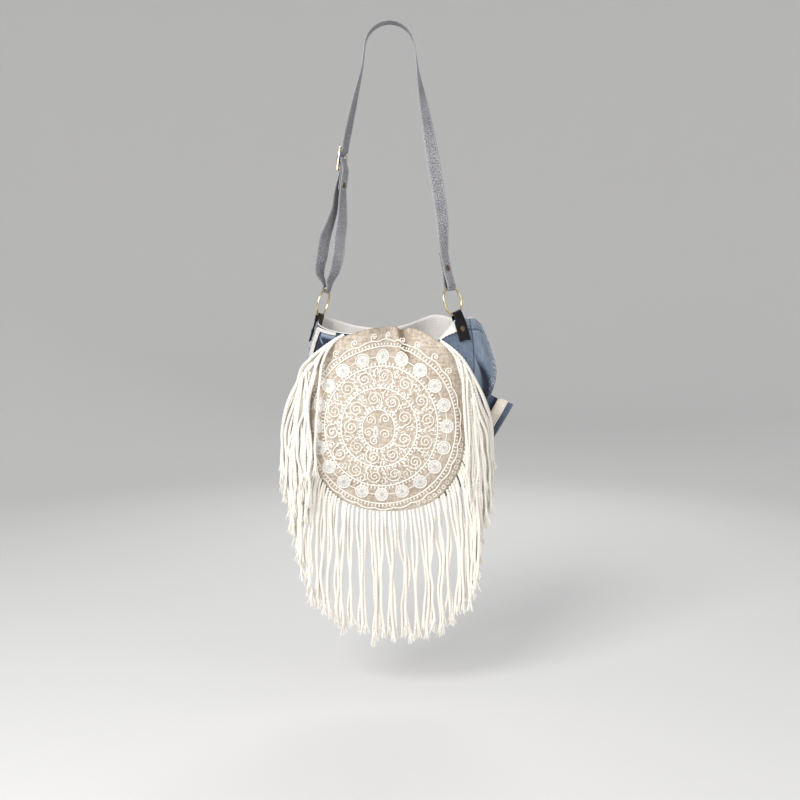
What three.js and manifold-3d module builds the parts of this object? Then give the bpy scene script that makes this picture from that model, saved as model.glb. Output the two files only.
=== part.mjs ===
// A fringed shoulder bag hanging by its strap: a soft denim pouch with a white lining, a round linen
// panel with a cord fringe on its front, and a denim strap on two rings held by leather tabs.
// Millimetres, +Z up, the front faces -Y. The origin is under the top of the strap, where it hangs.
import * as THREE from "three";
import { mergeVertices } from "three/addons/utils/BufferGeometryUtils.js";
import Module from "manifold-3d";

const wasm = await Module();
wasm.setup();

// Cloth, leather and metal
const denimThick = 1.6;
const liningThick = 1;
const layerGap = 0.6;
const panelThick = 1.6;
const panelGap = 1.4;
const panelStand = 2.2;
const tapeThick = 1;
const tapeGap = 1.2;
const strapWidth = 22;
const strapThick = 1.8;
const hangRadius = 38;
const tabWidth = 20;
const tabThick = 2;
const tabGap = 1.3;
const wireGap = 0.7;
const ringRadius = 23;
const wireRadius = 1.7;
const ringAboveRim = 30;
const ringSides = 24;
const wireSides = 6;

// The pouch in level sections: how far it reaches left, right, front and back of the hanging line,
// and how much wider its right side is at the back than at the front
const pouchSections = [
  { level: -748, left: 62, right: 58, front: 14, back: 9, splay: 0 },
  { level: -740, left: 94, right: 88, front: 30, back: 23, splay: 0 },
  { level: -722, left: 124, right: 116, front: 45, back: 37, splay: 0.05 },
  { level: -690, left: 148, right: 139, front: 57, back: 48, splay: 0.08 },
  { level: -645, left: 157, right: 149, front: 63, back: 54, splay: 0.12 },
  { level: -600, left: 152, right: 153, front: 64, back: 56, splay: 0.18 },
  { level: -575, left: 144, right: 160, front: 63, back: 55, splay: 0.24 },
  { level: -540, left: 136, right: 163, front: 60, back: 53, splay: 0.25 },
  { level: -500, left: 126, right: 155, front: 58, back: 50, splay: 0.28 },
  { level: -468, left: 115, right: 143, front: 54, back: 46, splay: 0.3 },
];
const rimLevel = pouchSections.at(-1).level;
const bottomLevel = pouchSections[0].level;
const pouchFoot = { x: -2, y: -2, below: 1 };
const boxiness = 2.4;
const leftSplay = -0.06;

// How far the rim stands above or below its mean level, going round from the right by way of the back
const rimHeights = [
  { turn: 0, lift: 6 },
  { turn: 12, lift: -10 },
  { turn: 22, lift: -14 },
  { turn: 45, lift: -4 },
  { turn: 70, lift: 18 },
  { turn: 90, lift: -2 },
  { turn: 115, lift: 0 },
  { turn: 150, lift: 12 },
  { turn: 180, lift: 9 },
  { turn: 200, lift: 2 },
  { turn: 225, lift: -6.5 },
  { turn: 243, lift: -11 },
  { turn: 262, lift: -11 },
  { turn: 280, lift: -11 },
  { turn: 307, lift: -22 },
  { turn: 329, lift: 11 },
  { turn: 344, lift: 13 },
  { turn: 352, lift: 13 },
  { turn: 360, lift: 6 },
];
const rimFadeDepth = 110;

// The snap draws the front and back rims together
const snapX = 12;
const snapReach = 40;
const snapPinch = 0.78;

// Soft valleys in the wall: where they are, how wide and tall, and how deep
const wallFolds = [
  { turn: 6, level: -590, wide: 13, tall: 30, deep: 11 },
  { turn: 62, level: -590, wide: 12, tall: 80, deep: 8 },
  { turn: 122, level: -600, wide: 13, tall: 90, deep: 8 },
  { turn: 205, level: -540, wide: 9, tall: 45, deep: 5 },
];
const pouchColumns = 40;
const pouchSteps = [0, 0.045, 0.11, 0.2, 0.31, 0.43, 0.55, 0.67, 0.78, 0.87, 0.94, 1];

// The linen panel, an oval flatter at the top, laid round the front of the pouch
const panelLevel = -621;
const panelSide = -2;
const panelHalfWidth = 122;
const heightRounds = 8;
const panelAbove = 150;
const panelBelow = 133;
const panelSquareAbove = 3;
const panelSquareBelow = 2.4;
const panelEndAngle = 80;
const panelRows = 15;
const panelColumns = 13;
const panelFreeLevel = -712;
const panelFreeLean = 0.6;
const panelLeanSpan = 10;

// The fringe: locks hang from a head sewn along the panel's edge, the angles count from straight down
const fringeFrom = -149;
const fringeTo = 144;
const lockCount = 28;
const lockSteps = 5;
const lockWidth = { root: 5, middle: 10, tip: 15 };
const lockSpreadTo = 0.2;
const lockFlareFrom = 0.75;
const lockSettleTo = 1 / 6;
const lockSwingTo = 0.75;
const lockThick = 5;
const headInner = 1.8;
const headOuter = 6.8;
const headThick = 4;
const headSteps = 40;
const headLift = 0.4;
const headRunOut = 1;
const rootOut = panelThick + lockThick / 2 + 1;
const hangLevel = -640;
const fringeLong = 208;
// How far the locks' tips swing sideways, and how thickly they lie on the wall
const fringeFan = [
  { angle: -149, swing: -90, pile: 14 },
  { angle: -138, swing: -72, pile: 15 },
  { angle: -126, swing: -46, pile: 14 },
  { angle: -112, swing: -28, pile: 12 },
  { angle: -90, swing: -14, pile: 10 },
  { angle: -50, swing: -6, pile: 8 },
  { angle: 0, swing: 5, pile: 8 },
  { angle: 50, swing: 12, pile: 8 },
  { angle: 80, swing: 17, pile: 9 },
  { angle: 105, swing: 30, pile: 11 },
  { angle: 125, swing: 50, pile: 13 },
  { angle: 144, swing: 84, pile: 14 },
];

// Where the tabs sit on the rim, how the rings turn and lean, and how far the tabs have slipped along
// the rim and round the ring
const sides = {
  left: { turn: 180, ringTurn: 75, lean: [0.26, 0], slide: 0, slip: 0, rivetDown: 14 },
  right: { turn: 329, ringTurn: 51, lean: [-0.19, 0.06], slide: 4, slip: 12, rivetDown: 13 },
};
const tabOutside = 28;
const tabInside = 24;
const tabOutsideSteps = [1, 0.75, 0.5, 0.3, 0.12];
const tabInsideSteps = [0.12, 0.4, 0.7, 1];
const tabColumns = [-1 / 2, -1 / 6, 1 / 6, 1 / 2];
const foldAngles = [0, 36, 72, 108, 144, 180];

// The strap's free runs, right ring to the top and top to the slider: middle of the strap, and the
// angle of its width from +X towards +Y
const rightRun = [
  { x: 81, y: -22, z: -300, turn: 26 },
  { x: 74, y: -17, z: -250, turn: 18 },
  { x: 65, y: -12, z: -196, turn: 20 },
  { x: 54, y: -7, z: -132, turn: 42 },
  { x: 43, y: -2, z: -68, turn: 80 },
];
const leftRun = [
  { x: -43, y: 0, z: -68, turn: 88 },
  { x: -55, y: 0, z: -120, turn: 72 },
  { x: -65, y: 0, z: -166, turn: 64 },
];
const loopDown = [
  { x: -83, y: 0, z: -257, turn: 72 },
  { x: -87, y: 0, z: -284, turn: 68 },
  { x: -94, y: 0, z: -306, turn: 56 },
  { x: -102, y: 0, z: -328, turn: 42 },
  { x: -107, y: 0, z: -354, turn: 38 },
  { x: -111, y: 0, z: -384, turn: 55 },
];
const loopUp = [
  { x: -96, y: 0, z: -399, turn: 62 },
  { x: -88, y: 0, z: -382, turn: 48 },
  { x: -82, y: 0, z: -358, turn: 34 },
  { x: -79, y: 0, z: -330, turn: 36 },
  { x: -75, y: 0, z: -300, turn: 46 },
];
const hangSteps = 8;
const hangEndAngle = 10;
const strapTail = 56;
const strapRivetUp = 31;
const strapRivetFlat = 6;

// The slider: three flat bars in a frame
const sliderAt = { x: -74, y: 0, z: -208 };
const sliderTurn = 66;
const sliderLean = [0.13, 0];
const sliderBarGap = 17;
const sliderBar = 3;
const sliderThick = 2;
const sliderSide = 3;
const sliderSlot = strapWidth + 2;
const sliderRivetDown = 39;
const barClear = 0.4;
const layerPitch = 2.6;
// The strap's way through the slider, first down and then back round the middle bar: how far up the
// slider, towards which face of it, and on which layer
const sliderPass = [
  { up: 21, face: 1, layer: 0 },
  { up: 14.5, face: 1, layer: 0 },
  { up: 4, face: -1, layer: 1 },
  { up: -4, face: -1, layer: 1 },
  { up: -14.5, face: 1, layer: 0 },
  { up: -21, face: 1, layer: 0 },
];
const sliderReturn = [
  { up: -47, face: 1, layer: 2 },
  { up: -39, face: 1, layer: 2 },
  { up: -21, face: 1, layer: 2 },
  { up: -14.5, face: 1, layer: 2 },
  { up: -3, face: 1, layer: 0.1 },
  { up: 0.5, face: 1, layer: 0 },
  { up: 2.4, face: 0.75, layer: 0 },
  { up: 3.1, face: 0, layer: 0 },
  { up: 2.4, face: -0.75, layer: 0 },
  { up: 0.5, face: -1, layer: 0 },
  { up: -4, face: -1, layer: 0 },
  { up: -14.5, face: 1, layer: 1 },
  { up: -21, face: 1, layer: 1 },
  { up: -39, face: 1, layer: 1 },
  { up: -47, face: 1, layer: 1 },
];

const rivetCap = 4.5;
const rivetCrown = 3.15;
const rivetSides = 10;
const rivetCapThick = 1.4;
const rivetStem = 1.6;
const rivetClear = 0.4;

// The cuff: a flat sleeve that leaves the right wall and points down to the right
const cuffEnd = { x: 180, y: 36, z: -632 };
const cuffAxis = [0.86, 0, -0.51];
const cuffLong = 76;
const cuffDeep = 15;
const cuffThick = 2.2;
const cuffReach = 62;
const cuffColumns = 20;
const cuffRoundness = 0.8;
const cuffFlare = 1.12;
const bandFrom = 10;
const bandTo = 27;
const bandThick = 1.2;

// The tape: down the left front corner, and along the rim beside it
const tapeTop = { turn: 206, down: 3 };
const tapeFoot = { turn: 197, down: 104 };
const tapeWidth = 10;
const tapeSteps = 7;
const rimTapeWidth = 7;
const rimTapeThick = 0.98;
const rimTapeReach = 34;
const rimTapeSteps = [0, 0.35, 0.7, 1];

// How finely the wall is measured: a step round it, and offsets for its slope
const arcStep = 3;
const probe = { turn: 0.6, level: 1 };

const rad = THREE.MathUtils.degToRad;
const vec = (x, y, z) => new THREE.Vector3(x, y, z);

// The value of one column of a table at a place along it, on a smooth curve through the rows
function along(table, key, column, at) {
  const last = table.length - 1;
  let i = table.findIndex((row) => row[key] > at) - 1;
  if (at <= table[0][key]) i = 0;
  if (i < 0) i = last - 1;
  const place = (j) => table[Math.min(Math.max(j, 0), last)];
  const slope = (j) => {
    const [before, after] = [place(j - 1), place(j + 1)];
    return (after[column] - before[column]) / (after[key] - before[key]);
  };
  const [from, to] = [table[i], table[i + 1]];
  const span = to[key] - from[key];
  const t = THREE.MathUtils.clamp((at - from[key]) / span, 0, 1);
  const [t2, t3] = [t * t, t * t * t];
  return (
    from[column] * (2 * t3 - 3 * t2 + 1) +
    to[column] * (3 * t2 - 2 * t3) +
    span * (slope(i) * (t3 - 2 * t2 + t) + slope(i + 1) * (t3 - t2))
  );
}

// What the rim does fades out down the wall
function rimFade(level) {
  return Math.max(0, 1 - (rimLevel - level) / rimFadeDepth) ** 2;
}

// The outer face of the pouch at a turn (degrees, 0 right, 90 back, 180 left, 270 front) and level
function facePoint(turn, level) {
  const angle = ((turn % 360) + 360) % 360;
  const power = (value) => Math.sign(value) * Math.abs(value) ** (2 / boxiness);
  const across = power(Math.cos(rad(angle)));
  const deep = power(Math.sin(rad(angle)));
  const reach = (column) => along(pouchSections, "level", column, level);
  const splay = across > 0 ? reach("splay") : leftSplay;
  const point = vec(
    across * (across > 0 ? reach("right") : reach("left")) * (1 + splay * deep),
    deep * (deep > 0 ? reach("back") : reach("front")),
    level,
  );
  for (const fold of wallFolds) {
    const off = ((angle - fold.turn + 540) % 360) - 180;
    const share = Math.exp(-((off / fold.wide) ** 2) - ((level - fold.level) / fold.tall) ** 2);
    const shrink = 1 - (fold.deep * share) / Math.hypot(point.x, point.y);
    point.x *= shrink;
    point.y *= shrink;
  }
  const fade = rimFade(level);
  point.y *= 1 - snapPinch * fade * Math.exp(-(((point.x - snapX) / snapReach) ** 2));
  point.z += along(rimHeights, "turn", "lift", angle) * fade;
  return point;
}

function faceNormal(turn, level) {
  const top = Math.min(level + probe.level, rimLevel);
  const low = Math.max(level - probe.level, bottomLevel);
  const round = facePoint(turn + probe.turn, level).sub(facePoint(turn - probe.turn, level));
  const rise = facePoint(turn, top).sub(facePoint(turn, low));
  return round.cross(rise).normalize();
}

function wallPoint(turn, level, out) {
  return facePoint(turn, level).addScaledVector(faceNormal(turn, level), out);
}

// Arc lengths round the pouch at a level, counted from the middle of the front, positive to the right
const arcCache = new Map();
function arcTable(level) {
  const key = level.toFixed(2);
  if (!arcCache.has(key)) {
    const rows = [{ turn: 90, arc: 0 }];
    for (let turn = 90 + arcStep; turn <= 450; turn += arcStep) {
      const step = facePoint(turn, level).distanceTo(facePoint(turn - arcStep, level));
      rows.push({ turn, arc: rows.at(-1).arc + step });
    }
    const front = rows.find((row) => row.turn === 270).arc;
    rows.forEach((row) => (row.arc -= front));
    arcCache.set(key, rows);
  }
  return arcCache.get(key);
}

function turnAt(arc, level) {
  const rows = arcTable(level);
  const i = Math.max(1, rows.findIndex((row) => row.arc >= arc));
  const [from, to] = [rows[i - 1], rows[i]];
  return THREE.MathUtils.mapLinear(arc, from.arc, to.arc, from.turn, to.turn);
}

function arcAt(turn, level) {
  const rows = arcTable(level);
  const wound = turn < 90 ? turn + 360 : turn;
  const i = Math.max(1, rows.findIndex((row) => row.turn >= wound));
  const [from, to] = [rows[i - 1], rows[i]];
  return THREE.MathUtils.mapLinear(wound, from.turn, to.turn, from.arc, to.arc);
}

const onWall = (arc, level, out) => wallPoint(turnAt(arc, level), level, out);

// Geometry from points and triangles, and closed solids to join and cut
function geometry(points, triangles) {
  const made = new THREE.BufferGeometry();
  made.setAttribute("position", new THREE.Float32BufferAttribute(points.flatMap((p) => p.toArray()), 3));
  made.setIndex(triangles);
  return made;
}

function solid(made) {
  const bare = made.clone();
  bare.deleteAttribute("normal");
  bare.deleteAttribute("uv");
  const merged = mergeVertices(bare, 1e-4);
  return new wasm.Manifold(
    new wasm.Mesh({
      numProp: 3,
      vertProperties: new Float32Array(merged.attributes.position.array),
      triVerts: new Uint32Array(merged.index.array),
    }),
  );
}

function fromSolid(shape) {
  const { vertProperties, triVerts, numProp } = shape.getMesh();
  const points = [];
  for (let i = 0; i < vertProperties.length; i += numProp) {
    points.push(vec(vertProperties[i], vertProperties[i + 1], vertProperties[i + 2]));
  }
  return geometry(points, Array.from(triVerts));
}

// A thin sheet from a grid of points in its middle, with its thickness to both sides
function sheet(grid, thick) {
  const rows = grid.length;
  const columns = grid[0].length;
  const clamp = THREE.MathUtils.clamp;
  const at = (i, j) => grid[clamp(i, 0, rows - 1)][clamp(j, 0, columns - 1)];
  const points = [];
  for (const side of [0.5, -0.5]) {
    for (let i = 0; i < rows; i += 1) {
      for (let j = 0; j < columns; j += 1) {
        const onward = at(i + 1, j).clone().sub(at(i - 1, j));
        const across = at(i, j + 1).clone().sub(at(i, j - 1));
        const normal = across.cross(onward).normalize();
        points.push(at(i, j).clone().addScaledVector(normal, side * thick));
      }
    }
  }
  const face = (i, j) => i * columns + j;
  const back = (i, j) => rows * columns + face(i, j);
  const triangles = [];
  const quad = (a, b, c, d) => triangles.push(a, b, c, a, c, d);
  for (let i = 0; i < rows - 1; i += 1) {
    for (let j = 0; j < columns - 1; j += 1) {
      quad(face(i, j), face(i, j + 1), face(i + 1, j + 1), face(i + 1, j));
      quad(back(i, j), back(i + 1, j), back(i + 1, j + 1), back(i, j + 1));
    }
    quad(face(i, 0), face(i + 1, 0), back(i + 1, 0), back(i, 0));
    quad(face(i, columns - 1), back(i, columns - 1), back(i + 1, columns - 1), face(i + 1, columns - 1));
  }
  for (let j = 0; j < columns - 1; j += 1) {
    quad(face(0, j), back(0, j), back(0, j + 1), face(0, j + 1));
    quad(face(rows - 1, j), face(rows - 1, j + 1), back(rows - 1, j + 1), back(rows - 1, j));
  }
  return geometry(points, triangles);
}

// A tube wall between two stacks of closed loops, with both ends or only the first end open
function tubeWall(outer, inner, floors) {
  const count = outer[0].length;
  const points = [...outer.flat(), ...inner.flat()];
  const face = (i, j) => i * count + (j % count);
  const back = (i, j) => outer.length * count + face(i, j);
  const triangles = [];
  const quad = (a, b, c, d) => triangles.push(a, b, c, a, c, d);
  const last = outer.length - 1;
  for (let j = 0; j < count; j += 1) {
    for (let i = 0; i < last; i += 1) {
      quad(face(i, j), face(i + 1, j), face(i + 1, j + 1), face(i, j + 1));
      quad(back(i, j), back(i, j + 1), back(i + 1, j + 1), back(i + 1, j));
    }
    quad(face(0, j), face(0, j + 1), back(0, j + 1), back(0, j));
    if (floors) {
      triangles.push(face(last, j), points.length, face(last, j + 1));
      triangles.push(back(last, j), back(last, j + 1), points.length + 1);
    } else {
      quad(face(last, j), back(last, j), back(last, j + 1), face(last, j + 1));
    }
  }
  return geometry(floors ? [...points, ...floors] : points, triangles);
}

// Level loops of the pouch from rim to bottom, and the lowest point, at a distance off its outer face
function pouchLoops(out) {
  return pouchSteps.map((step) => {
    const level = THREE.MathUtils.lerp(rimLevel, bottomLevel, step);
    const arcs = arcTable(level);
    const round = arcs.at(-1).arc - arcs[0].arc;
    return Array.from({ length: pouchColumns }, (_, j) =>
      wallPoint(turnAt(arcs[0].arc + (round * j) / pouchColumns, level), level, out),
    );
  });
}

const footPoint = (out) => vec(pouchFoot.x, pouchFoot.y, bottomLevel - pouchFoot.below - out);

function pouchShell(outer, inner) {
  return tubeWall(pouchLoops(outer), pouchLoops(inner), [footPoint(outer), footPoint(inner)]);
}

// A frame on which a ring, tab, slider or rivet sits: across the strap, up it, and out of it
function frameAt(origin, turn, lean) {
  const up = vec(lean[0], lean[1], 1).normalize();
  const flat = vec(Math.cos(rad(turn)), Math.sin(rad(turn)), 0);
  const across = flat.addScaledVector(up, -flat.dot(up)).normalize();
  const out = across.clone().cross(up);
  return { origin, across, up, out };
}

function inFrame(frame, across, up, out) {
  return frame.origin
    .clone()
    .addScaledVector(frame.across, across)
    .addScaledVector(frame.up, up)
    .addScaledVector(frame.out, out);
}

function placed(made, { origin, across, up, out }) {
  return made.applyMatrix4(new THREE.Matrix4().makeBasis(across, up, out).setPosition(origin));
}

const wallDeep = denimThick + layerGap + liningThick;

// The ring's frame: it stands over the rim above its tab
function ringFrame(side) {
  const frame = frameAt(wallPoint(side.turn, rimLevel, -wallDeep / 2), side.ringTurn, side.lean);
  frame.origin = inFrame(frame, 0, ringAboveRim, 0);
  return frame;
}

const leftRing = ringFrame(sides.left);
const rightRing = ringFrame(sides.right);
const sliderFrame = frameAt(vec(sliderAt.x, sliderAt.y, sliderAt.z), sliderTurn, sliderLean);

// How far from the ring's middle a band of some width lies against its wire
const chordOut = (width) => Math.sqrt(ringRadius ** 2 - (width / 2) ** 2);

function ring(frame) {
  const made = new THREE.TorusGeometry(ringRadius, wireRadius, wireSides, ringSides);
  return fromSolid(solid(placed(made, frame)));
}

// A rivet: a cap at each end of a stem, round an axis through its middle
function alongAxis(made, from, axis) {
  const turn = new THREE.Quaternion().setFromUnitVectors(vec(0, 1, 0), axis);
  return made.applyQuaternion(turn).translate(from.x, from.y, from.z);
}

function rivet(centre, axis, hold) {
  const half = hold / 2 + rivetClear;
  const crown = half + rivetCapThick;
  const profile = [
    [0, -crown], [rivetCrown, -crown], [rivetCap, -half], [rivetStem, -half],
    [rivetStem, half], [rivetCap, half], [rivetCrown, crown], [0, crown],
  ].map(([r, h]) => new THREE.Vector2(r, h));
  return fromSolid(solid(alongAxis(new THREE.LatheGeometry(profile, rivetSides), centre, axis)));
}

function drill(shape, centre, axis, hold) {
  const radius = rivetStem + rivetClear;
  const bore = new THREE.CylinderGeometry(radius, radius, hold + rivetCapThick, rivetSides);
  return shape.subtract(solid(alongAxis(bore, centre, axis)));
}

// Where a tab's rivet goes through the wall
function tabRivet(side) {
  const level = rimLevel - side.rivetDown;
  const arc = arcAt(side.turn, level) + side.slide;
  const turn = turnAt(arc, level);
  return {
    centre: wallPoint(turn, level, -wallDeep / 2),
    axis: faceNormal(turn, level),
    hold: wallDeep + 2 * (tabGap + tabThick),
  };
}

// A frame turned about its own outward direction
function slipped(frame, degrees) {
  const across = frame.across.clone().applyAxisAngle(frame.out, rad(degrees));
  const up = frame.up.clone().applyAxisAngle(frame.out, rad(degrees));
  return { ...frame, across, up };
}

// A tab: down the outside of the wall, over the ring's wire and down the inside
function tab(side, ringFrame) {
  const frame = slipped(ringFrame, side.slip);
  const columns = tabColumns.map((share) => share * tabWidth);
  const leg = tabGap + tabThick / 2;
  const foldRadius = wireRadius + wireGap + tabThick / 2;
  const foldUp = -chordOut(tabWidth);
  const onLeg = (down, out) =>
    columns.map((column) => {
      const level = rimLevel - down;
      const arc = arcAt(side.turn, level) + column + side.slide;
      return onWall(arc, level, out);
    });
  const facing = Math.sign(frame.out.dot(faceNormal(side.turn, rimLevel)));
  const fold = foldAngles.map((angle) =>
    columns.map((column) =>
      inFrame(
        frame,
        column * facing,
        foldUp + foldRadius * Math.sin(rad(angle)),
        facing * foldRadius * Math.cos(rad(angle)),
      ),
    ),
  );
  const outside = tabOutsideSteps.map((share) => onLeg(share * tabOutside, leg));
  const inside = tabInsideSteps.map((share) => onLeg(share * tabInside, -wallDeep - leg));
  const { centre, axis, hold } = tabRivet(side);
  return drill(solid(sheet([...outside, ...fold, ...inside], tabThick)), centre, axis, hold);
}

// The strap: a list of places with the direction of its width, made into one ribbon
const sliderOut = (layer) => sliderThick / 2 + barClear + strapThick / 2 + layer * layerPitch;

function strapStations() {
  const foldRadius = wireRadius + wireGap + strapThick / 2;
  const foldUp = chordOut(strapWidth);
  const stations = [];
  const put = (frame, up, out) =>
    stations.push({ centre: inFrame(frame, 0, up, out), across: frame.across.clone() });
  const run = (rows) =>
    rows.forEach((row) =>
      stations.push({
        centre: vec(row.x, row.y, row.z),
        across: vec(Math.cos(rad(row.turn)), Math.sin(rad(row.turn)), 0),
      }),
    );
  const foldRound = (frame, from) => {
    put(frame, ringRadius + 2 * wireRadius, from * foldRadius);
    for (const angle of foldAngles) {
      const height = foldUp - foldRadius * Math.sin(rad(angle));
      put(frame, height, from * foldRadius * Math.cos(rad(angle)));
    }
    put(frame, ringRadius + 2 * wireRadius, -from * foldRadius);
  };
  const through = (rows) => rows.forEach((row) => put(sliderFrame, row.up, row.face * sliderOut(row.layer)));
  const pressed = layerPitch / 2;
  const tailHeights = [strapTail, strapRivetUp + strapRivetFlat, strapRivetUp - strapRivetFlat];
  tailHeights.forEach((height) => put(rightRing, foldUp + height, -pressed));
  foldRound(rightRing, -1);
  tailHeights.toReversed().forEach((height) => put(rightRing, foldUp + height, pressed));
  run(rightRun);
  for (let i = 0; i <= hangSteps; i += 1) {
    const angle = rad(THREE.MathUtils.lerp(hangEndAngle, 180 - hangEndAngle, i / hangSteps));
    const radius = hangRadius + strapThick / 2;
    stations.push({
      centre: vec(radius * Math.cos(angle), 0, radius * Math.sin(angle) - hangRadius),
      across: vec(0, 1, 0),
    });
  }
  run(leftRun);
  through(sliderPass);
  run(loopDown);
  foldRound(leftRing, -1);
  run(loopUp);
  through(sliderReturn);
  return stations;
}

const strapRivets = {
  right: {
    centre: inFrame(rightRing, 0, chordOut(strapWidth) + strapRivetUp, 0),
    axis: rightRing.out,
    hold: layerPitch + strapThick,
  },
  left: {
    centre: inFrame(sliderFrame, 0, -sliderRivetDown, sliderOut(1.5)),
    axis: sliderFrame.out,
    hold: layerPitch + strapThick,
  },
};

function strap() {
  const grid = strapStations().map(({ centre, across }) => [
    centre.clone().addScaledVector(across, strapWidth / 2),
    centre.clone().addScaledVector(across, -strapWidth / 2),
  ]);
  let shape = solid(sheet(grid, strapThick));
  for (const { centre, axis, hold } of Object.values(strapRivets)) {
    shape = drill(shape, centre, axis, hold);
  }
  return fromSolid(shape);
}

function slider() {
  const halfWide = sliderSlot / 2 + sliderSide;
  const halfTall = sliderBarGap + sliderBar / 2;
  const box = (wide, from, to) => {
    const path = new THREE.Path();
    path.moveTo(-wide, from).lineTo(wide, from).lineTo(wide, to).lineTo(-wide, to).closePath();
    return path;
  };
  const outline = new THREE.Shape(box(halfWide, -halfTall, halfTall).getPoints());
  for (const side of [1, -1]) {
    const edges = [side * (sliderBar / 2), side * (sliderBarGap - sliderBar / 2)].sort((a, b) => a - b);
    outline.holes.push(box(sliderSlot / 2, ...edges));
  }
  const made = new THREE.ExtrudeGeometry(outline, { depth: sliderThick, bevelEnabled: false });
  return placed(made.translate(0, 0, -sliderThick / 2), sliderFrame);
}

// A point off the wall at a true height, whatever the rim's rise there: over a dip it stands straight up
function atHeight(arc, height, out) {
  const lift = along(rimHeights, "turn", "lift", turnAt(arc, height) % 360);
  let level = height;
  for (let i = 0; i < heightRounds; i += 1) {
    level = Math.min(rimLevel, height - lift * rimFade(level));
  }
  const point = onWall(arc, level, out);
  point.z += height - level - lift * rimFade(level);
  return point;
}

// A point over the panel's back face, which stands off more at the creased rim: below the free level
// it hangs straight down off the pouch
function onPanel(across, rise, over) {
  const level = panelLevel + rise;
  const out = panelGap + panelStand * rimFade(level) + over;
  if (level >= panelFreeLevel) return atHeight(panelSide + across, level, out);
  const edge = onWall(panelSide + across, panelFreeLevel, out);
  const above = onWall(panelSide + across, panelFreeLevel + panelLeanSpan, out);
  const fall = level - panelFreeLevel;
  const lean = ((above.y - edge.y) / panelLeanSpan) * panelFreeLean;
  return vec(edge.x, edge.y + lean * fall, edge.z + fall);
}

function panelWidthAt(rise) {
  const [tall, square] = rise > 0 ? [panelAbove, panelSquareAbove] : [panelBelow, panelSquareBelow];
  return panelHalfWidth * (1 - Math.min(1, Math.abs(rise) / tall) ** square) ** (1 / square);
}

function frontPanel() {
  const grid = Array.from({ length: panelRows }, (_, i) => {
    const share = Math.sin(rad(THREE.MathUtils.lerp(panelEndAngle, -panelEndAngle, i / (panelRows - 1))));
    const rise = share * (share > 0 ? panelAbove : panelBelow);
    const half = panelWidthAt(rise);
    return Array.from({ length: panelColumns }, (_, j) =>
      onPanel(half * (1 - (2 * j) / (panelColumns - 1)), rise, panelThick / 2),
    );
  });
  return sheet(grid, panelThick);
}

// The panel's edge at an angle from straight down, moved outwards in its plane
function edgeAt(angle, beyond) {
  const [right, down] = [Math.sin(rad(angle)), Math.cos(rad(angle))];
  const [tall, square] = down > 0 ? [panelBelow, panelSquareBelow] : [panelAbove, panelSquareAbove];
  const [wide, high] = [Math.abs(right / panelHalfWidth), Math.abs(down / tall)];
  const size = (wide ** square + high ** square) ** (-1 / square);
  return { across: right * (size + beyond), rise: -down * (size + beyond) };
}

// The middle of a lock at a share of its length: it slides outwards over the wall, then hangs free
function lockPoint(angle, share, sideways) {
  const root = edgeAt(angle, (headInner + headOuter) / 2);
  const ease = Math.sin(Math.min(1, share / lockSwingTo) * (Math.PI / 2));
  const swing = along(fringeFan, "angle", "swing", angle) * ease;
  const pile = along(fringeFan, "angle", "pile", angle);
  const settled = Math.min(1, share / lockSettleTo);
  const fall = share * fringeLong;
  const rootLevel = panelLevel + root.rise;
  if (rootLevel < hangLevel) {
    const start = onPanel(root.across + sideways, root.rise, THREE.MathUtils.lerp(rootOut, pile, settled));
    return vec(start.x + swing, start.y, start.z - fall);
  }
  const level = rootLevel - fall;
  const rootStand = panelGap + panelStand * rimFade(rootLevel) + rootOut;
  const out = THREE.MathUtils.lerp(rootStand, pile, settled);
  const point = atHeight(panelSide + root.across + swing + sideways, Math.max(level, hangLevel), out);
  point.z += Math.min(0, level - hangLevel);
  return point;
}

function lockWidthAt(share) {
  const { root, middle, tip } = lockWidth;
  const lerp = THREE.MathUtils.lerp;
  if (share < lockFlareFrom) return lerp(root, middle, Math.min(1, share / lockSpreadTo));
  return lerp(middle, tip, (share - lockFlareFrom) / (1 - lockFlareFrom));
}

function fringe() {
  const head = Array.from({ length: headSteps + 1 }, (_, i) => {
    const angle = THREE.MathUtils.lerp(fringeFrom - headRunOut, fringeTo + headRunOut, i / headSteps);
    return [headOuter, headInner].map((beyond) => {
      const { across, rise } = edgeAt(angle, beyond);
      return onPanel(across, rise, headThick / 2 + headLift);
    });
  });
  let shape = solid(sheet(head, headThick));
  for (let i = 0; i < lockCount; i += 1) {
    const angle = THREE.MathUtils.lerp(fringeFrom, fringeTo, i / (lockCount - 1));
    const grid = Array.from({ length: lockSteps + 1 }, (_, k) => {
      const share = k / lockSteps;
      const half = lockWidthAt(share) / 2;
      return [lockPoint(angle, share, half), lockPoint(angle, share, -half)];
    });
    shape = shape.add(solid(sheet(grid, lockThick)));
  }
  return fromSolid(shape);
}

// White tape down the left front corner and along the rim beside it
function cornerTape() {
  const out = tapeGap + tapeThick / 2;
  const lerp = THREE.MathUtils.lerp;
  const corner = Array.from({ length: tapeSteps }, (_, i) => {
    const step = i / (tapeSteps - 1);
    const level = rimLevel - lerp(tapeTop.down, tapeFoot.down, step);
    const arc = arcAt(lerp(tapeTop.turn, tapeFoot.turn, step), level);
    return [0.5, 0, -0.5].map((share) => onWall(arc + share * tapeWidth, level, out));
  });
  const rim = rimTapeSteps.map((step) =>
    [0, 1].map((share) => {
      const level = rimLevel - tapeTop.down - share * rimTapeWidth;
      return onWall(arcAt(tapeTop.turn, level) + step * rimTapeReach, level, out);
    }),
  );
  return fromSolid(solid(sheet(corner, tapeThick)).add(solid(sheet(rim, rimTapeThick))));
}

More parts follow.
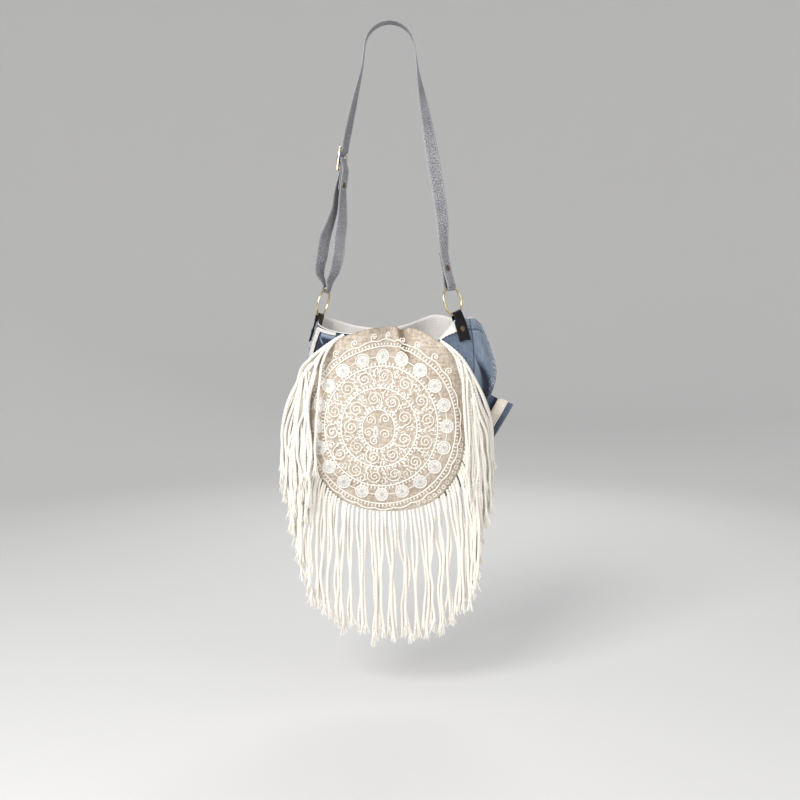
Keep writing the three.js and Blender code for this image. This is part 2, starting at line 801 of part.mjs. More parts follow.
// Loops of a flat sleeve at several distances back from its open end
function cuffLoops(distances, grow) {
  const axis = vec(...cuffAxis).normalize();
  const deep = vec(0, 1, 0);
  const long = deep.clone().cross(axis);
  return distances.map((distance) => {
    const flare = THREE.MathUtils.lerp(cuffFlare, 1, Math.min(1, distance / bandTo));
    const centre = vec(cuffEnd.x, cuffEnd.y, cuffEnd.z).addScaledVector(axis, -distance);
    return Array.from({ length: cuffColumns }, (_, j) => {
      const angle = (2 * Math.PI * j) / cuffColumns;
      const power = (value) => Math.sign(value) * Math.abs(value) ** cuffRoundness;
      return centre
        .clone()
        .addScaledVector(long, power(Math.cos(angle)) * ((cuffLong / 2) * flare + grow))
        .addScaledVector(deep, power(Math.sin(angle)) * ((cuffDeep / 2) * flare + grow));
    });
  });
}

// The filled pouch, a little larger than it is, that the sleeve is cut back to
function pouchFilled(grow) {
  const loops = pouchLoops(grow);
  const points = loops.flat();
  const lastLoop = points.length - pouchColumns;
  const [foot, lid] = [points.length, points.length + 1];
  const rimMiddle = loops[0].reduce((sum, point) => sum.add(point), vec(0, 0, 0)).divideScalar(pouchColumns);
  const triangles = [];
  for (let j = 0; j < pouchColumns; j += 1) {
    const next = (j + 1) % pouchColumns;
    for (let first = 0; first < lastLoop; first += pouchColumns) {
      const [a, b] = [first + j, first + next];
      triangles.push(a, a + pouchColumns, b + pouchColumns, a, b + pouchColumns, b);
    }
    triangles.push(lastLoop + j, foot, lastLoop + next);
    triangles.push(j, next, lid);
  }
  return solid(geometry([...points, footPoint(grow), rimMiddle], triangles));
}

function cuff(distances, outer, inner) {
  return solid(tubeWall(cuffLoops(distances, outer), cuffLoops(distances, inner)));
}

const materials = {
  denim: { color: "#7f92a8", roughness: 0.9 },
  darkDenim: { color: "#2b3850", roughness: 0.92 },
  lining: { color: "#dcd9d4", roughness: 0.92 },
  linen: { color: "#cbb697", roughness: 0.9 },
  cotton: { color: "#f0eae0", roughness: 0.95 },
  tape: { color: "#e4e2de", roughness: 0.92 },
  strapDenim: { color: "#878a94", roughness: 0.9 },
  leather: { color: "#17151a", roughness: 0.5 },
  gold: { color: "#d9bf7f", roughness: 0.22, metalness: 1 },
  brass: { color: "#8a6238", roughness: 0.38, metalness: 1 },
  creamBand: { color: "#e2d2bd", roughness: 0.9 },
};

const bag = new THREE.Group();
function add(name, made, look) {
  const mesh = new THREE.Mesh(made, new THREE.MeshStandardMaterial(materials[look]));
  mesh.name = name;
  bag.add(mesh);
}

const rivetHoles = Object.values(sides).map(tabRivet);
const drilled = (shape) =>
  fromSolid(rivetHoles.reduce((left, hole) => drill(left, hole.centre, hole.axis, hole.hold), shape));
add("denim_body", drilled(solid(pouchShell(0, -denimThick))), "denim");
add("lining", drilled(solid(pouchShell(-denimThick - layerGap, -wallDeep))), "lining");
add("front_panel", frontPanel(), "linen");
add("corner_tape", cornerTape(), "tape");
add("fringe", fringe(), "cotton");
add("strap", strap(), "strapDenim");
add("slider", slider(), "gold");
for (const [name, frame] of [["left", leftRing], ["right", rightRing]]) {
  add(`ring_${name}`, ring(frame), "gold");
  add(`tab_${name}`, fromSolid(tab(sides[name], frame)), "leather");
  const hole = tabRivet(sides[name]);
  add(`rivet_tab_${name}`, rivet(hole.centre, hole.axis, hole.hold), "brass");
  const fold = strapRivets[name];
  add(`rivet_strap_${name}`, rivet(fold.centre, fold.axis, fold.hold), "brass");
}
const pouch = pouchFilled(layerGap);
const sleeve = cuff([0, bandFrom, bandTo, cuffReach], 0, -cuffThick);
add("side_cuff", fromSolid(sleeve.subtract(pouch)), "darkDenim");
const band = cuff([bandFrom, bandTo], layerGap + bandThick, layerGap);
add("cuff_band", fromSolid(band.subtract(pouch)), "creamBand");

export default bag;
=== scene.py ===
# A fringed denim shoulder bag that hangs by its strap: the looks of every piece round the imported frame.
# Sizes in the dictionaries are millimetres and degrees, and mm turns them into the scene's metres.
import math
from functools import partial

import bmesh
import bpy
import numpy as np
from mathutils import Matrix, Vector
from mathutils.bvhtree import BVHTree


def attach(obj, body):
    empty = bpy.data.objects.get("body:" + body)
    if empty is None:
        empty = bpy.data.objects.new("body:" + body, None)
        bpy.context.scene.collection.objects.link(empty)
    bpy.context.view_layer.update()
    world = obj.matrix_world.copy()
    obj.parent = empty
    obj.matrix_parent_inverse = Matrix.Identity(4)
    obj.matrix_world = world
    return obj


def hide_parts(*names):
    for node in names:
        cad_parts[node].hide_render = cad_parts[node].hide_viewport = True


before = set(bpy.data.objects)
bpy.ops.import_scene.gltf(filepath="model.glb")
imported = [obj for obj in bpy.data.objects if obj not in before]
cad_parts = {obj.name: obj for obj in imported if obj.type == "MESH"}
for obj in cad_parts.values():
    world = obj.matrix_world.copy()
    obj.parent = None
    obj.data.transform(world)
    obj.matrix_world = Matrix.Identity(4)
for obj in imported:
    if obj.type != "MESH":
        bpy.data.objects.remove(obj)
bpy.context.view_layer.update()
mm = 0.001
scene = bpy.context.scene
dice = np.random.default_rng(11)


def columns(names, *rows):  # a short table: a name for each column, a row for each place
    return dict(zip(names.split(), np.array(rows, float).T))


def curveThrough(table, key, column, at):  # one column of a table on a smooth curve through its rows
    place, value = table[key], table[column]
    last = len(place) - 1
    ahead = np.minimum(np.arange(last + 1) + 1, last)
    behind = np.maximum(np.arange(last + 1) - 1, 0)
    slope = (value[ahead] - value[behind]) / (place[ahead] - place[behind])
    i = np.clip(np.searchsorted(place, at, side="right") - 1, 0, last - 1)
    span = place[i + 1] - place[i]
    t = np.clip((at - place[i]) / span, 0, 1)
    ends = value[i] * (2 * t**3 - 3 * t**2 + 1) + value[i + 1] * (3 * t**2 - 2 * t**3)
    return ends + span * (slope[i] * (t**3 - 2 * t**2 + t) + slope[i + 1] * (t**3 - t**2))


def unit(vectors):
    return vectors / np.maximum(np.linalg.norm(vectors, axis=-1, keepdims=True), 1e-12)


def alongRun(points):  # distance along a row of points
    return np.concatenate([[0], np.cumsum(np.linalg.norm(np.diff(points, axis=0), axis=1))])


def lerp(a, b, t):
    return a + (b - a) * t


def smooth(low, high, value):  # eases from 0 to 1 between two values
    t = np.clip((value - low) / (high - low), 0, 1)
    return t * t * (3 - 2 * t)


# Camera, at the photograph's height and angle
view = {"target": (16, 0, -585), "distance": 1500, "elevation": 5, "focalPixels": 937.5, "imagePixels": 800}


def makeCamera():
    lens = bpy.data.cameras.new("camera")
    lens.sensor_width = 36
    lens.lens = lens.sensor_width * view["focalPixels"] / view["imagePixels"]
    lens.clip_start, lens.clip_end = 0.05, 50
    made = bpy.data.objects.new("camera", lens)
    scene.collection.objects.link(made)
    tilt = math.radians(view["elevation"])
    back = Vector((0, -math.cos(tilt), math.sin(tilt)))
    made.location = Vector(view["target"]) * mm + back * view["distance"] * mm
    made.rotation_euler = (-back).to_track_quat("-Z", "Y").to_euler()
    scene.camera = made


makeCamera()
print("camera set")


# Nodes: one function adds a node with its settings, sets or links its sockets, and gives one of its outputs
def put(tree, kind, sockets=None, out=0, stops=(), **settings):
    node = tree.nodes.new(kind)
    for key, value in settings.items():
        setattr(node, key, value)
    for socket, value in (sockets or {}).items():
        if isinstance(value, bpy.types.NodeSocket):
            tree.links.new(value, node.inputs[socket])
        else:
            node.inputs[socket].default_value = value
    if stops:  # colours along a ramp
        marks = node.color_ramp.elements
        marks.remove(marks[1])
        marks[0].position, marks[0].color = stops[0][0], colour(stops[0][1])
        for place, code in stops[1:]:
            marks.new(place).color = colour(code)
    return node.outputs[out] if node.outputs else None


def colour(code):  # sRGB hex to linear
    parts = [int(code[i:i + 2], 16) / 255 for i in (1, 3, 5)]
    return [p / 12.92 if p <= 0.04045 else ((p + 0.055) / 1.055) ** 2.4 for p in parts] + [1]


def bands(millimetres):  # wave texture scale for one band in so many millimetres
    return math.pi / 10 / (millimetres * mm)


def grains(millimetres):  # noise or cell texture scale for features of that size
    return 1 / (millimetres * mm)


def newMaterial(name, **surface):
    made = bpy.data.materials.new(name)
    made.use_nodes = True
    shader = made.node_tree.nodes["Principled BSDF"]
    for socket, value in surface.items():
        shader.inputs[socket.replace("_", " ")].default_value = value
    return made, partial(put, made.node_tree)


def dress(made, **patterns):  # joins finished patterns to the material's shader
    shader = made.node_tree.nodes["Principled BSDF"]
    for socket, pattern in patterns.items():
        made.node_tree.links.new(pattern, shader.inputs[socket.replace("_", " ")])
    return made


def makeDenim(name, stops, weaveTone):
    # Cotton twill, indigo warp over white weft: diagonal ribs, pale where it rubs, darker where the wear
    # attribute carries painted shade, matt and slightly fuzzy
    made, add = newMaterial(name, Roughness=0.9, Sheen_Weight=0.12, Sheen_Roughness=0.5)
    uv = add("ShaderNodeUVMap", uv_map="cloth")
    turned = add("ShaderNodeMapping", {"Vector": uv, "Rotation": (0, 0, math.radians(58))})
    # real twill ribs are 0.8 mm apart, drawn at 2.4 mm so that they show
    rib = add("ShaderNodeTexWave", {"Vector": turned, "Scale": bands(2.4), "Distortion": 0.5, "Detail": 1,
                                    "Detail Scale": 2.0}, "Fac", wave_type="BANDS")
    slub = add("ShaderNodeMapping", {"Vector": uv, "Scale": (1, 0.22, 1)})
    streak = add("ShaderNodeTexNoise", {"Vector": slub, "Scale": grains(3), "Detail": 3, "Roughness": 0.6},
                 "Fac")
    cloud = add("ShaderNodeTexNoise", {"Vector": uv, "Scale": grains(42), "Detail": 4, "Roughness": 0.62},
                "Fac")
    wornAndShaded = add("ShaderNodeAttribute", out="Fac", attribute_name="wear")
    spread = add("ShaderNodeMath", {0: cloud, 1: 0.56, 2: -0.28}, operation="MULTIPLY_ADD")
    fleck = add("ShaderNodeMath", {0: streak, 1: 0.5, 2: -0.25}, operation="MULTIPLY_ADD")
    tone = add("ShaderNodeMath", {0: wornAndShaded, 1: spread}, operation="ADD")
    tone = add("ShaderNodeMath", {0: tone, 1: fleck}, operation="ADD", use_clamp=True)
    dyed = add("ShaderNodeValToRGB", {"Fac": tone}, "Color", stops)
    paler = add("ShaderNodeMath", {0: tone, 1: weaveTone}, operation="MULTIPLY")
    ribTone = add("ShaderNodeMath", {0: rib, 1: paler}, operation="MULTIPLY")
    shown = add("ShaderNodeMix", {0: ribTone, 6: dyed, 7: colour("#d3d8de")}, 2, data_type="RGBA")
    height = add("ShaderNodeMath", {0: rib, 1: 0.7, 2: streak}, operation="MULTIPLY_ADD")
    raised = add("ShaderNodeBump", {"Height": height, "Distance": 0.45 * mm, "Strength": 0.8}, "Normal")
    return dress(made, Base_Color=shown, Normal=raised)


def makePlainWeave(name, stops, thread, relief, fleckShare):
    # Plain weave: threads over and under each other both ways, uneven in tone where they are thick or thin
    made, add = newMaterial(name, Roughness=0.92, Sheen_Weight=0.1, Sheen_Roughness=0.5)
    uv = add("ShaderNodeUVMap", uv_map="cloth")
    threads, slubs = [], []
    for way, drawn in (("X", (0.3, 1, 1)), ("Y", (1, 0.3, 1))):
        wave = {"Vector": uv, "Scale": bands(thread), "Distortion": 0.8, "Detail": 2, "Detail Scale": 1.5}
        threads.append(add("ShaderNodeTexWave", wave, "Fac", bands_direction=way))
        longer = add("ShaderNodeMapping", {"Vector": uv, "Scale": drawn})
        slubs.append(add("ShaderNodeTexNoise", {"Vector": longer, "Scale": grains(thread * 1.6), "Detail": 2},
                         "Fac"))
    knit = add("ShaderNodeMath", {0: threads[0], 1: threads[1]}, operation="MULTIPLY")
    slub = add("ShaderNodeMath", {0: slubs[0], 1: slubs[1]}, operation="ADD")
    cloud = add("ShaderNodeTexNoise", {"Vector": uv, "Scale": grains(55), "Detail": 3}, "Fac")
    tone = add("ShaderNodeMath", {0: slub, 1: fleckShare, 2: -fleckShare}, operation="MULTIPLY_ADD")
    tone = add("ShaderNodeMath", {0: knit, 1: 0.55, 2: tone}, operation="MULTIPLY_ADD")
    tone = add("ShaderNodeMath", {0: cloud, 1: 0.4, 2: tone}, operation="MULTIPLY_ADD", use_clamp=True)
    dyed = add("ShaderNodeValToRGB", {"Fac": tone}, "Color", stops)
    soilAndShade = add("ShaderNodeAttribute", out="Fac", attribute_name="soilAndShade")  # darker in the crease, part painted shade and part soil, and along the panel's edge
    shown = add("ShaderNodeMix", {0: soilAndShade, 6: dyed, 7: colour("#705d4b")}, 2, data_type="RGBA")
    height = add("ShaderNodeMath", {0: slub, 1: 0.8, 2: knit}, operation="MULTIPLY_ADD")
    raised = add("ShaderNodeBump", {"Height": height, "Distance": relief * mm, "Strength": 0.8}, "Normal")
    return dress(made, Base_Color=shown, Normal=raised)


def makeYarn(name, stops, roughness, fibre, relief):
    # Cotton yarn: matt, soft, a little warmer and darker where the fibres lie deep
    made, add = newMaterial(name, Roughness=roughness, Sheen_Weight=0.2, Sheen_Roughness=0.4)
    place = add("ShaderNodeTexCoord", out="Object")
    drawn = add("ShaderNodeMapping", {"Vector": place, "Scale": (1, 1, 0.35)})
    strand = add("ShaderNodeAttribute", out="Fac", attribute_name="tone")
    fuzz = add("ShaderNodeTexNoise", {"Vector": drawn, "Scale": grains(fibre), "Detail": 3,
                                      "Roughness": 0.65}, "Fac")
    tone = add("ShaderNodeMath", {0: fuzz, 1: 0.5, 2: strand}, operation="MULTIPLY_ADD", use_clamp=True)
    shown = add("ShaderNodeValToRGB", {"Fac": tone}, "Color", stops)
    raised = add("ShaderNodeBump", {"Height": fuzz, "Distance": relief * mm, "Strength": 0.7}, "Normal")
    return dress(made, Base_Color=shown, Normal=raised)


def makeHeather():
    # Grey melange denim of the strap: dark and pale fibres mixed, the folded edges rubbed pale, and painted
    # shade on its underside
    made, add = newMaterial("melangeDenim", Roughness=0.9, Sheen_Weight=0.12, Sheen_Roughness=0.5)
    uv = add("ShaderNodeUVMap", uv_map="cloth")
    # mixed fibres are finer than 0.2 mm, drawn as 2 mm flecks so that they show
    fleck = add("ShaderNodeTexNoise", {"Vector": uv, "Scale": grains(2.0), "Detail": 3, "Roughness": 0.75},
                "Fac")
    drift = add("ShaderNodeTexNoise", {"Vector": uv, "Scale": grains(26), "Detail": 2}, "Fac")
    tone = add("ShaderNodeMath", {0: fleck, 1: 2.6, 2: -0.95}, operation="MULTIPLY_ADD")
    tone = add("ShaderNodeMath", {0: drift, 1: 0.3, 2: tone}, operation="MULTIPLY_ADD", use_clamp=True)
    shown = add("ShaderNodeValToRGB", {"Fac": tone}, "Color",
                [(0.12, "#464649"), (0.4, "#747478"), (0.6, "#919196"), (0.9, "#bebdc0")])
    # under: painted shade mixed onto one face of the strap
    for attribute, code in (("wear", "#b4b2b4"), ("under", "#22242e")):
        share = add("ShaderNodeAttribute", out="Fac", attribute_name=attribute)
        shown = add("ShaderNodeMix", {0: share, 6: shown, 7: colour(code)}, 2, data_type="RGBA")
    turned = add("ShaderNodeMapping", {"Vector": uv, "Rotation": (0, 0, math.radians(60))})
    rib = add("ShaderNodeTexWave", {"Vector": turned, "Scale": bands(1.6), "Distortion": 1.0, "Detail": 2},
              "Fac")
    height = add("ShaderNodeMath", {0: rib, 1: 0.6, 2: fleck}, operation="MULTIPLY_ADD")
    raised = add("ShaderNodeBump", {"Height": height, "Distance": 0.4 * mm, "Strength": 0.8}, "Normal")
    return dress(made, Base_Color=shown, Normal=raised)


def makeLeather():
    # Black drum-dyed leather: pebbled grain, satin finish, raw edges a little browner
    made, add = newMaterial("blackLeather", IOR=1.5, Specular_IOR_Level=0.2)
    place = add("ShaderNodeTexCoord", out="Object")
    grain = add("ShaderNodeTexVoronoi", {"Vector": place, "Scale": grains(1.7), "Randomness": 1.0},
                "Distance", feature="SMOOTH_F1")
    wave = add("ShaderNodeTexNoise", {"Vector": place, "Scale": grains(9), "Detail": 4}, "Fac")
    edge = add("ShaderNodeAttribute", out="Fac", attribute_name="wear")
    dyed = add("ShaderNodeValToRGB", {"Fac": wave}, "Color", [(0.3, "#070608"), (0.7, "#100e12")])
    shown = add("ShaderNodeMix", {0: edge, 6: dyed, 7: colour("#2b2422")}, 2, data_type="RGBA")
    gloss = add("ShaderNodeMapRange", {"Value": wave, "To Min": 0.42, "To Max": 0.66}, "Result")
    raised = add("ShaderNodeBump", {"Height": grain, "Distance": 0.25 * mm, "Strength": 0.7}, "Normal")
    return dress(made, Base_Color=shown, Roughness=gloss, Normal=raised)


def makeMetal(name, bright, dull, low, high, spot):
    # Plated die-cast metal: clear reflections, faint handling haze, darker in the worn patches
    made, add = newMaterial(name, Metallic=1.0)
    place = add("ShaderNodeTexCoord", out="Object")
    haze = add("ShaderNodeTexNoise", {"Vector": place, "Scale": grains(spot), "Detail": 5, "Roughness": 0.6},
               "Fac")
    shown = add("ShaderNodeValToRGB", {"Fac": haze}, "Color", [(0.3, dull), (0.62, bright)])
    gloss = add("ShaderNodeMapRange", {"Value": haze, "To Min": high, "To Max": low}, "Result")
    raised = add("ShaderNodeBump", {"Height": haze, "Distance": 0.06 * mm, "Strength": 0.4}, "Normal")
    return dress(made, Base_Color=shown, Roughness=gloss, Normal=raised)


# real threads are 0.4 to 1 mm apart and yarn fibres finer than 0.1 mm, all drawn coarser so that they show
finish = {made.name: made for made in (
    makeDenim("washedDenim", [(0.0, "#182235"), (0.25, "#35435a"), (0.5, "#5c6c80"), (0.75, "#8492a1"),
                              (1.0, "#c6ccd2")], weaveTone=0.28),
    makeDenim("indigoDenim", [(0.0, "#0f1526"), (0.4, "#29354e"), (0.7, "#4b5868"), (1.0, "#8f9ba8")],
              weaveTone=0.18),
    makePlainWeave("naturalLinen", [(0.0, "#9c8b77"), (0.3, "#bbac9a"), (0.6, "#cfc5b8"), (1.0, "#e6e0d8")],
                   thread=2.0, relief=0.55, fleckShare=1.0),
    makePlainWeave("liningCotton", [(0.0, "#c4bfba"), (0.5, "#e2deda"), (1.0, "#f4f1ed")],
                   thread=1.8, relief=0.2, fleckShare=0.35),
    makePlainWeave("tapeCotton", [(0.0, "#a8a4a2"), (0.5, "#d6d2cd"), (1.0, "#edeae6")],
                   thread=1.8, relief=0.35, fleckShare=0.5),
    makePlainWeave("creamCotton", [(0.0, "#dccdb8"), (0.5, "#f6ebdc"), (1.0, "#fdf8f0")],
                   thread=2.0, relief=0.35, fleckShare=0.5),
    makeYarn("cordCotton", [(0.0, "#cdc4b5"), (0.4, "#eee7dc"), (0.75, "#fbf6ed")],
             roughness=0.9, fibre=1.1, relief=0.35),
    makeYarn("embroideryCotton", [(0.0, "#c6bdb0"), (0.45, "#e6dfd5"), (0.8, "#f5f1eb")],
             roughness=0.8, fibre=0.9, relief=0.2),
    makeYarn("satinCotton", [(0.0, "#a5a29d"), (0.45, "#d3d0ca"), (0.8, "#eeebe6")],
             roughness=0.75, fibre=0.9, relief=0.15),
    makeYarn("seamThread", [(0.0, "#7f858e"), (0.5, "#adb2b9"), (1.0, "#d6d9dc")],
             roughness=0.8, fibre=0.9, relief=0.1),
    makeHeather(), makeLeather(),
    makeMetal("paleGold", bright="#eee0b8", dull="#c9b27c", low=0.16, high=0.32, spot=6),
    makeMetal("antiqueBrass", bright="#7c6a50", dull="#3d3226", low=0.34, high=0.55, spot=2.5))}
print("materials made:", len(finish))


# Pieces: meshes from grids, and the calls that place a finished piece
def addPiece(name, mesh, material, slot, *nodes):
    made = bpy.data.objects.new(name, mesh)
    scene.collection.objects.link(made)
    if not mesh.materials:
        mesh.materials.append(finish[material])
    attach(made, "root")
    if nodes:
        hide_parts(*nodes)
    return made


def smoothShaded(mesh):
    mesh.polygons.foreach_set("use_smooth", np.ones(len(mesh.polygons), bool))
    return mesh


def quadMesh(name, points, quads, corners=None, attributes=None, extra=()):
    # corners gives each corner's cloth coordinates, in metres on the flat cloth
    mesh = bpy.data.meshes.new(name)
    mesh.from_pydata((np.asarray(points) * mm).tolist(), [], [list(map(int, q)) for q in quads] + list(extra))
    for key, values in (attributes or {}).items():
        mesh.attributes.new(key, "FLOAT", "POINT").data.foreach_set("value", np.asarray(values, np.float32))
    if corners is not None:
        layer = mesh.uv_layers.new(name="cloth")
        flat = np.zeros((len(mesh.loops), 2), np.float32)
        flat[:len(corners)] = np.asarray(corners) * mm
        layer.data.foreach_set("uv", flat.ravel())
    mesh.validate()
    return smoothShaded(mesh)


def clothMesh(name, front, back, flat, closed=False, attributes=None, capped=False):
    # front and back are grids of points, rows downwards and columns to the right
    # flat is the cloth's own plane
    rows, count = front.shape[:2]
    wide = count if closed else count - 1
    i, j = (g.ravel() for g in np.meshgrid(np.arange(rows - 1), np.arange(wide), indexing="ij"))
    k = (j + 1) % count
    behind = rows * count
    at = lambda r, c: r * count + c
    quads, corners = [], []

    def add(cells, places):
        quads.append(np.stack(cells, -1))
        corners.append(np.stack([flat[r, c] for r, c in places], 1))

    add([at(i, j), at(i + 1, j), at(i + 1, k), at(i, k)], [(i, j), (i + 1, j), (i + 1, j + 1), (i, j + 1)])
    add([behind + at(i, j), behind + at(i, k), behind + at(i + 1, k), behind + at(i + 1, j)],
        [(i, j), (i, j + 1), (i + 1, j + 1), (i + 1, j)])
    c = np.arange(wide)
    d = (c + 1) % count
    top, low = np.zeros(wide, int), np.full(wide, rows - 1)
    add([at(top, c), at(top, d), behind + at(top, d), behind + at(top, c)],
        [(top, c), (top, c + 1), (top, c + 1), (top, c)])
    if not capped:
        add([at(low, c), behind + at(low, c), behind + at(low, d), at(low, d)],
            [(low, c), (low, c), (low, c + 1), (low, c + 1)])
    if not closed:
        r = np.arange(rows - 1)
        left, right = np.zeros(rows - 1, int), np.full(rows - 1, count - 1)
        add([at(r, left), behind + at(r, left), behind + at(r + 1, left), at(r + 1, left)],
            [(r, left), (r, left), (r + 1, left), (r + 1, left)])
        add([at(r, right), at(r + 1, right), behind + at(r + 1, right), behind + at(r, right)],
            [(r, right), (r + 1, right), (r + 1, right), (r, right)])
    extra = []
    if capped:
        rim = [(rows - 1) * count + int(n) for n in range(count)]
        extra = [rim[::-1], [behind + n for n in rim]]
    pair = lambda v: v if isinstance(v, tuple) else (v, v)  # one value for both faces, or one for each
    both = {key: np.concatenate([np.ravel(side) for side in pair(v)]) for key,
            v in (attributes or {}).items()}
    points = np.concatenate([front.reshape(-1, 3), back.reshape(-1, 3)])
    return quadMesh(name, points, np.concatenate(quads), np.concatenate(corners).reshape(-1, 2), both, extra)


def gridNormals(grid):  # outward normals of a grid with rows downwards and columns to the right
    down = np.gradient(grid, axis=0)
    right = np.gradient(grid, axis=1)
    return unit(np.cross(down, right))


def thickCloth(name, middle, thick, flat, attributes=None):
    out = gridNormals(middle) * (np.asarray(thick)[..., None] / 2)
    return clothMesh(name, middle + out, middle - out, flat, attributes=attributes)


def ringQuads(rows, count, closed=False):  # faces between rows of points that each close in a ring
    at = lambda r, s: r % rows * count + s % count
    return [[at(r, s), at(r, s + 1), at(r + 1, s + 1), at(r + 1, s)]
            for r in range(rows if closed else rows - 1) for s in range(count)]


# Trees of Geometry Nodes for what follows a path: twisted cord, loose fibres, and rows of stitches
def newTree(name, **inputs):
    tree = bpy.data.node_groups.new(name, "GeometryNodeTree")
    for key, kind in {"Geometry": "Geometry", **inputs}.items():
        tree.interface.new_socket(name=key, in_out="INPUT", socket_type="NodeSocket" + kind)
    tree.interface.new_socket(name="Geometry", in_out="OUTPUT", socket_type="NodeSocketGeometry")
    return tree, partial(put, tree), tree.nodes.new("NodeGroupInput").outputs


def endTree(tree, geometry, material):
    whole = put(tree, "GeometryNodeRealizeInstances", {"Geometry": geometry})
    smoothed = put(tree, "GeometryNodeSetShadeSmooth", {"Geometry": whole})
    painted = put(tree, "GeometryNodeSetMaterial", {"Geometry": smoothed, "Material": material})
    put(tree, "NodeGroupOutput", {"Geometry": painted})
    return tree


def makeCordTree():
    tree, add, given = newTree("twistedCord", Material="Material", Radius="Float", Pitch="Float",
                               Step="Float", Ply="Float")
    line = add("GeometryNodeMeshToCurve", {"Mesh": given["Geometry"]})
    line = add("GeometryNodeResampleCurve", {"Curve": line, "Length": given["Step"]}, mode="LENGTH")
    run = add("GeometryNodeSplineParameter", out="Length")
    turns = add("ShaderNodeMath", {0: run, 1: given["Pitch"]}, operation="DIVIDE")
    twist = add("ShaderNodeMath", {0: turns, 1: math.tau}, operation="MULTIPLY")
    line = add("GeometryNodeSetCurveTilt", {"Curve": line, "Tilt": twist})
    ring = add("GeometryNodeCurvePrimitiveCircle", {"Resolution": 12, "Radius": 1.0})
    spot = add("GeometryNodeInputPosition")
    x, y = (add("ShaderNodeSeparateXYZ", {0: spot}, axis) for axis in "XY")
    angle = add("ShaderNodeMath", {0: y, 1: x}, operation="ARCTAN2")
    triple = add("ShaderNodeMath", {0: angle, 1: 3.0}, operation="MULTIPLY")  # three plies
    lobe = add("ShaderNodeMath", {0: triple}, operation="COSINE")
    share = add("ShaderNodeMath", {0: lobe, 1: given["Ply"], 2: 1.0}, operation="MULTIPLY_ADD")
    size = add("ShaderNodeMath", {0: share, 1: given["Radius"]}, operation="MULTIPLY")
    moved = add("ShaderNodeVectorMath", {0: spot, "Scale": size}, operation="SCALE")
    ring = add("GeometryNodeSetPosition", {"Geometry": ring, "Position": moved})
    fat = add("GeometryNodeInputNamedAttribute", {"Name": "fat"}, data_type="FLOAT")
    tube = add("GeometryNodeCurveToMesh",
               {"Curve": line, "Profile Curve": ring, "Scale": fat, "Fill Caps": True})
    return endTree(tree, tube, given["Material"])


def makeFibreTree():
    tree, add, given = newTree("looseFibres", Material="Material", Radius="Float")
    line = add("GeometryNodeMeshToCurve", {"Mesh": given["Geometry"]})
    ring = add("GeometryNodeCurvePrimitiveCircle", {"Resolution": 4, "Radius": given["Radius"]})
    run = add("GeometryNodeSplineParameter", out="Factor")
    taper = add("ShaderNodeMapRange", {"Value": run, "To Min": 1.0, "To Max": 0.45}, "Result")
    tube = add("GeometryNodeCurveToMesh",
               {"Curve": line, "Profile Curve": ring, "Scale": taper, "Fill Caps": True})
    return endTree(tree, tube, given["Material"])


def makeStitchTree():
    tree, add, given = newTree("stitchRow", Material="Material", Spacing="Float", Size="Vector",
                               Slant="Float", Seed="Int")
    line = add("GeometryNodeMeshToCurve", {"Mesh": given["Geometry"]})
    line = add("GeometryNodeResampleCurve", {"Curve": line, "Length": given["Spacing"]}, mode="LENGTH")
    out = add("GeometryNodeInputNamedAttribute", {"Name": "outward"}, data_type="FLOAT_VECTOR")
    ahead = add("GeometryNodeInputTangent")
    facing = add("FunctionNodeAxesToRotation", {"Primary Axis": out, "Secondary Axis": ahead},
                 primary_axis="Z", secondary_axis="X")
    grain = add("GeometryNodeMeshUVSphere", {"Segments": 6, "Rings": 4, "Radius": 0.5}, "Mesh")
    yaw = add("ShaderNodeCombineXYZ", {"Z": given["Slant"]})
    for change in ({"Rotation": (0, math.pi / 2, 0)}, {"Scale": given["Size"]}, {"Rotation": yaw}):
        grain = add("GeometryNodeTransform", {"Geometry": grain, **change})
    vary = add("FunctionNodeRandomValue", {2: 0.88, 3: 1.1, "Seed": given["Seed"]}, 1, data_type="FLOAT")
    row = add("GeometryNodeInstanceOnPoints",
              {"Points": line, "Instance": grain, "Rotation": facing, "Scale": vary})
    return endTree(tree, row, given["Material"])


def grown(name, paths, tree, attributes=None, **values):
    # paths are lists of points; each tree input is set by its socket's identifier before it is evaluated
    points = np.concatenate(paths) * mm
    starts = np.cumsum([0] + [len(p) for p in paths[:-1]])
    edges = [(s + n, s + n + 1) for s, p in zip(starts, paths) for n in range(len(p) - 1)]
    source = bpy.data.meshes.new(name)
    source.from_pydata(points.tolist(), [(int(a), int(b)) for a, b in edges], [])
    for key, value in (attributes or {}).items():
        value = np.asarray(np.concatenate(value), np.float32)
        kind, field = ("FLOAT_VECTOR", "vector") if value.ndim == 2 else ("FLOAT", "value")
        source.attributes.new(key, kind, "POINT").data.foreach_set(field, value.ravel())
    holder = bpy.data.objects.new(name + "Paths", source)
    scene.collection.objects.link(holder)
    modifier = holder.modifiers.new("nodes", "NODES")
    modifier.node_group = tree
    for item in tree.interface.items_tree:
        if item.in_out == "INPUT" and item.name in values:
            modifier[item.identifier] = values[item.name]
    graph = bpy.context.evaluated_depsgraph_get()
    made = bpy.data.meshes.new_from_object(holder.evaluated_get(graph))
    made.name = name
    holder.modifiers.remove(modifier)
    bpy.data.objects.remove(holder)
    return made


def sewRows(name, paths, outs, tones, stitch, thread, slot, node):  # rows of one stitch along the paths
    attributes = {"outward": outs, "tone": [np.full(len(p), t) for p, t in zip(paths, tones)]}
    mesh = grown(name, paths, stitchTree, attributes, Material=finish[thread], Spacing=stitch["spacing"] * mm,
                 Size=tuple(s * mm for s in stitch["size"]), Slant=math.radians(stitch.get("slant", 0)),
                 Seed=stitch["seed"])
    addPiece(name, mesh, thread, slot, node)


cordTree, fibreTree, stitchTree = makeCordTree(), makeFibreTree(), makeStitchTree()
print("node trees made")


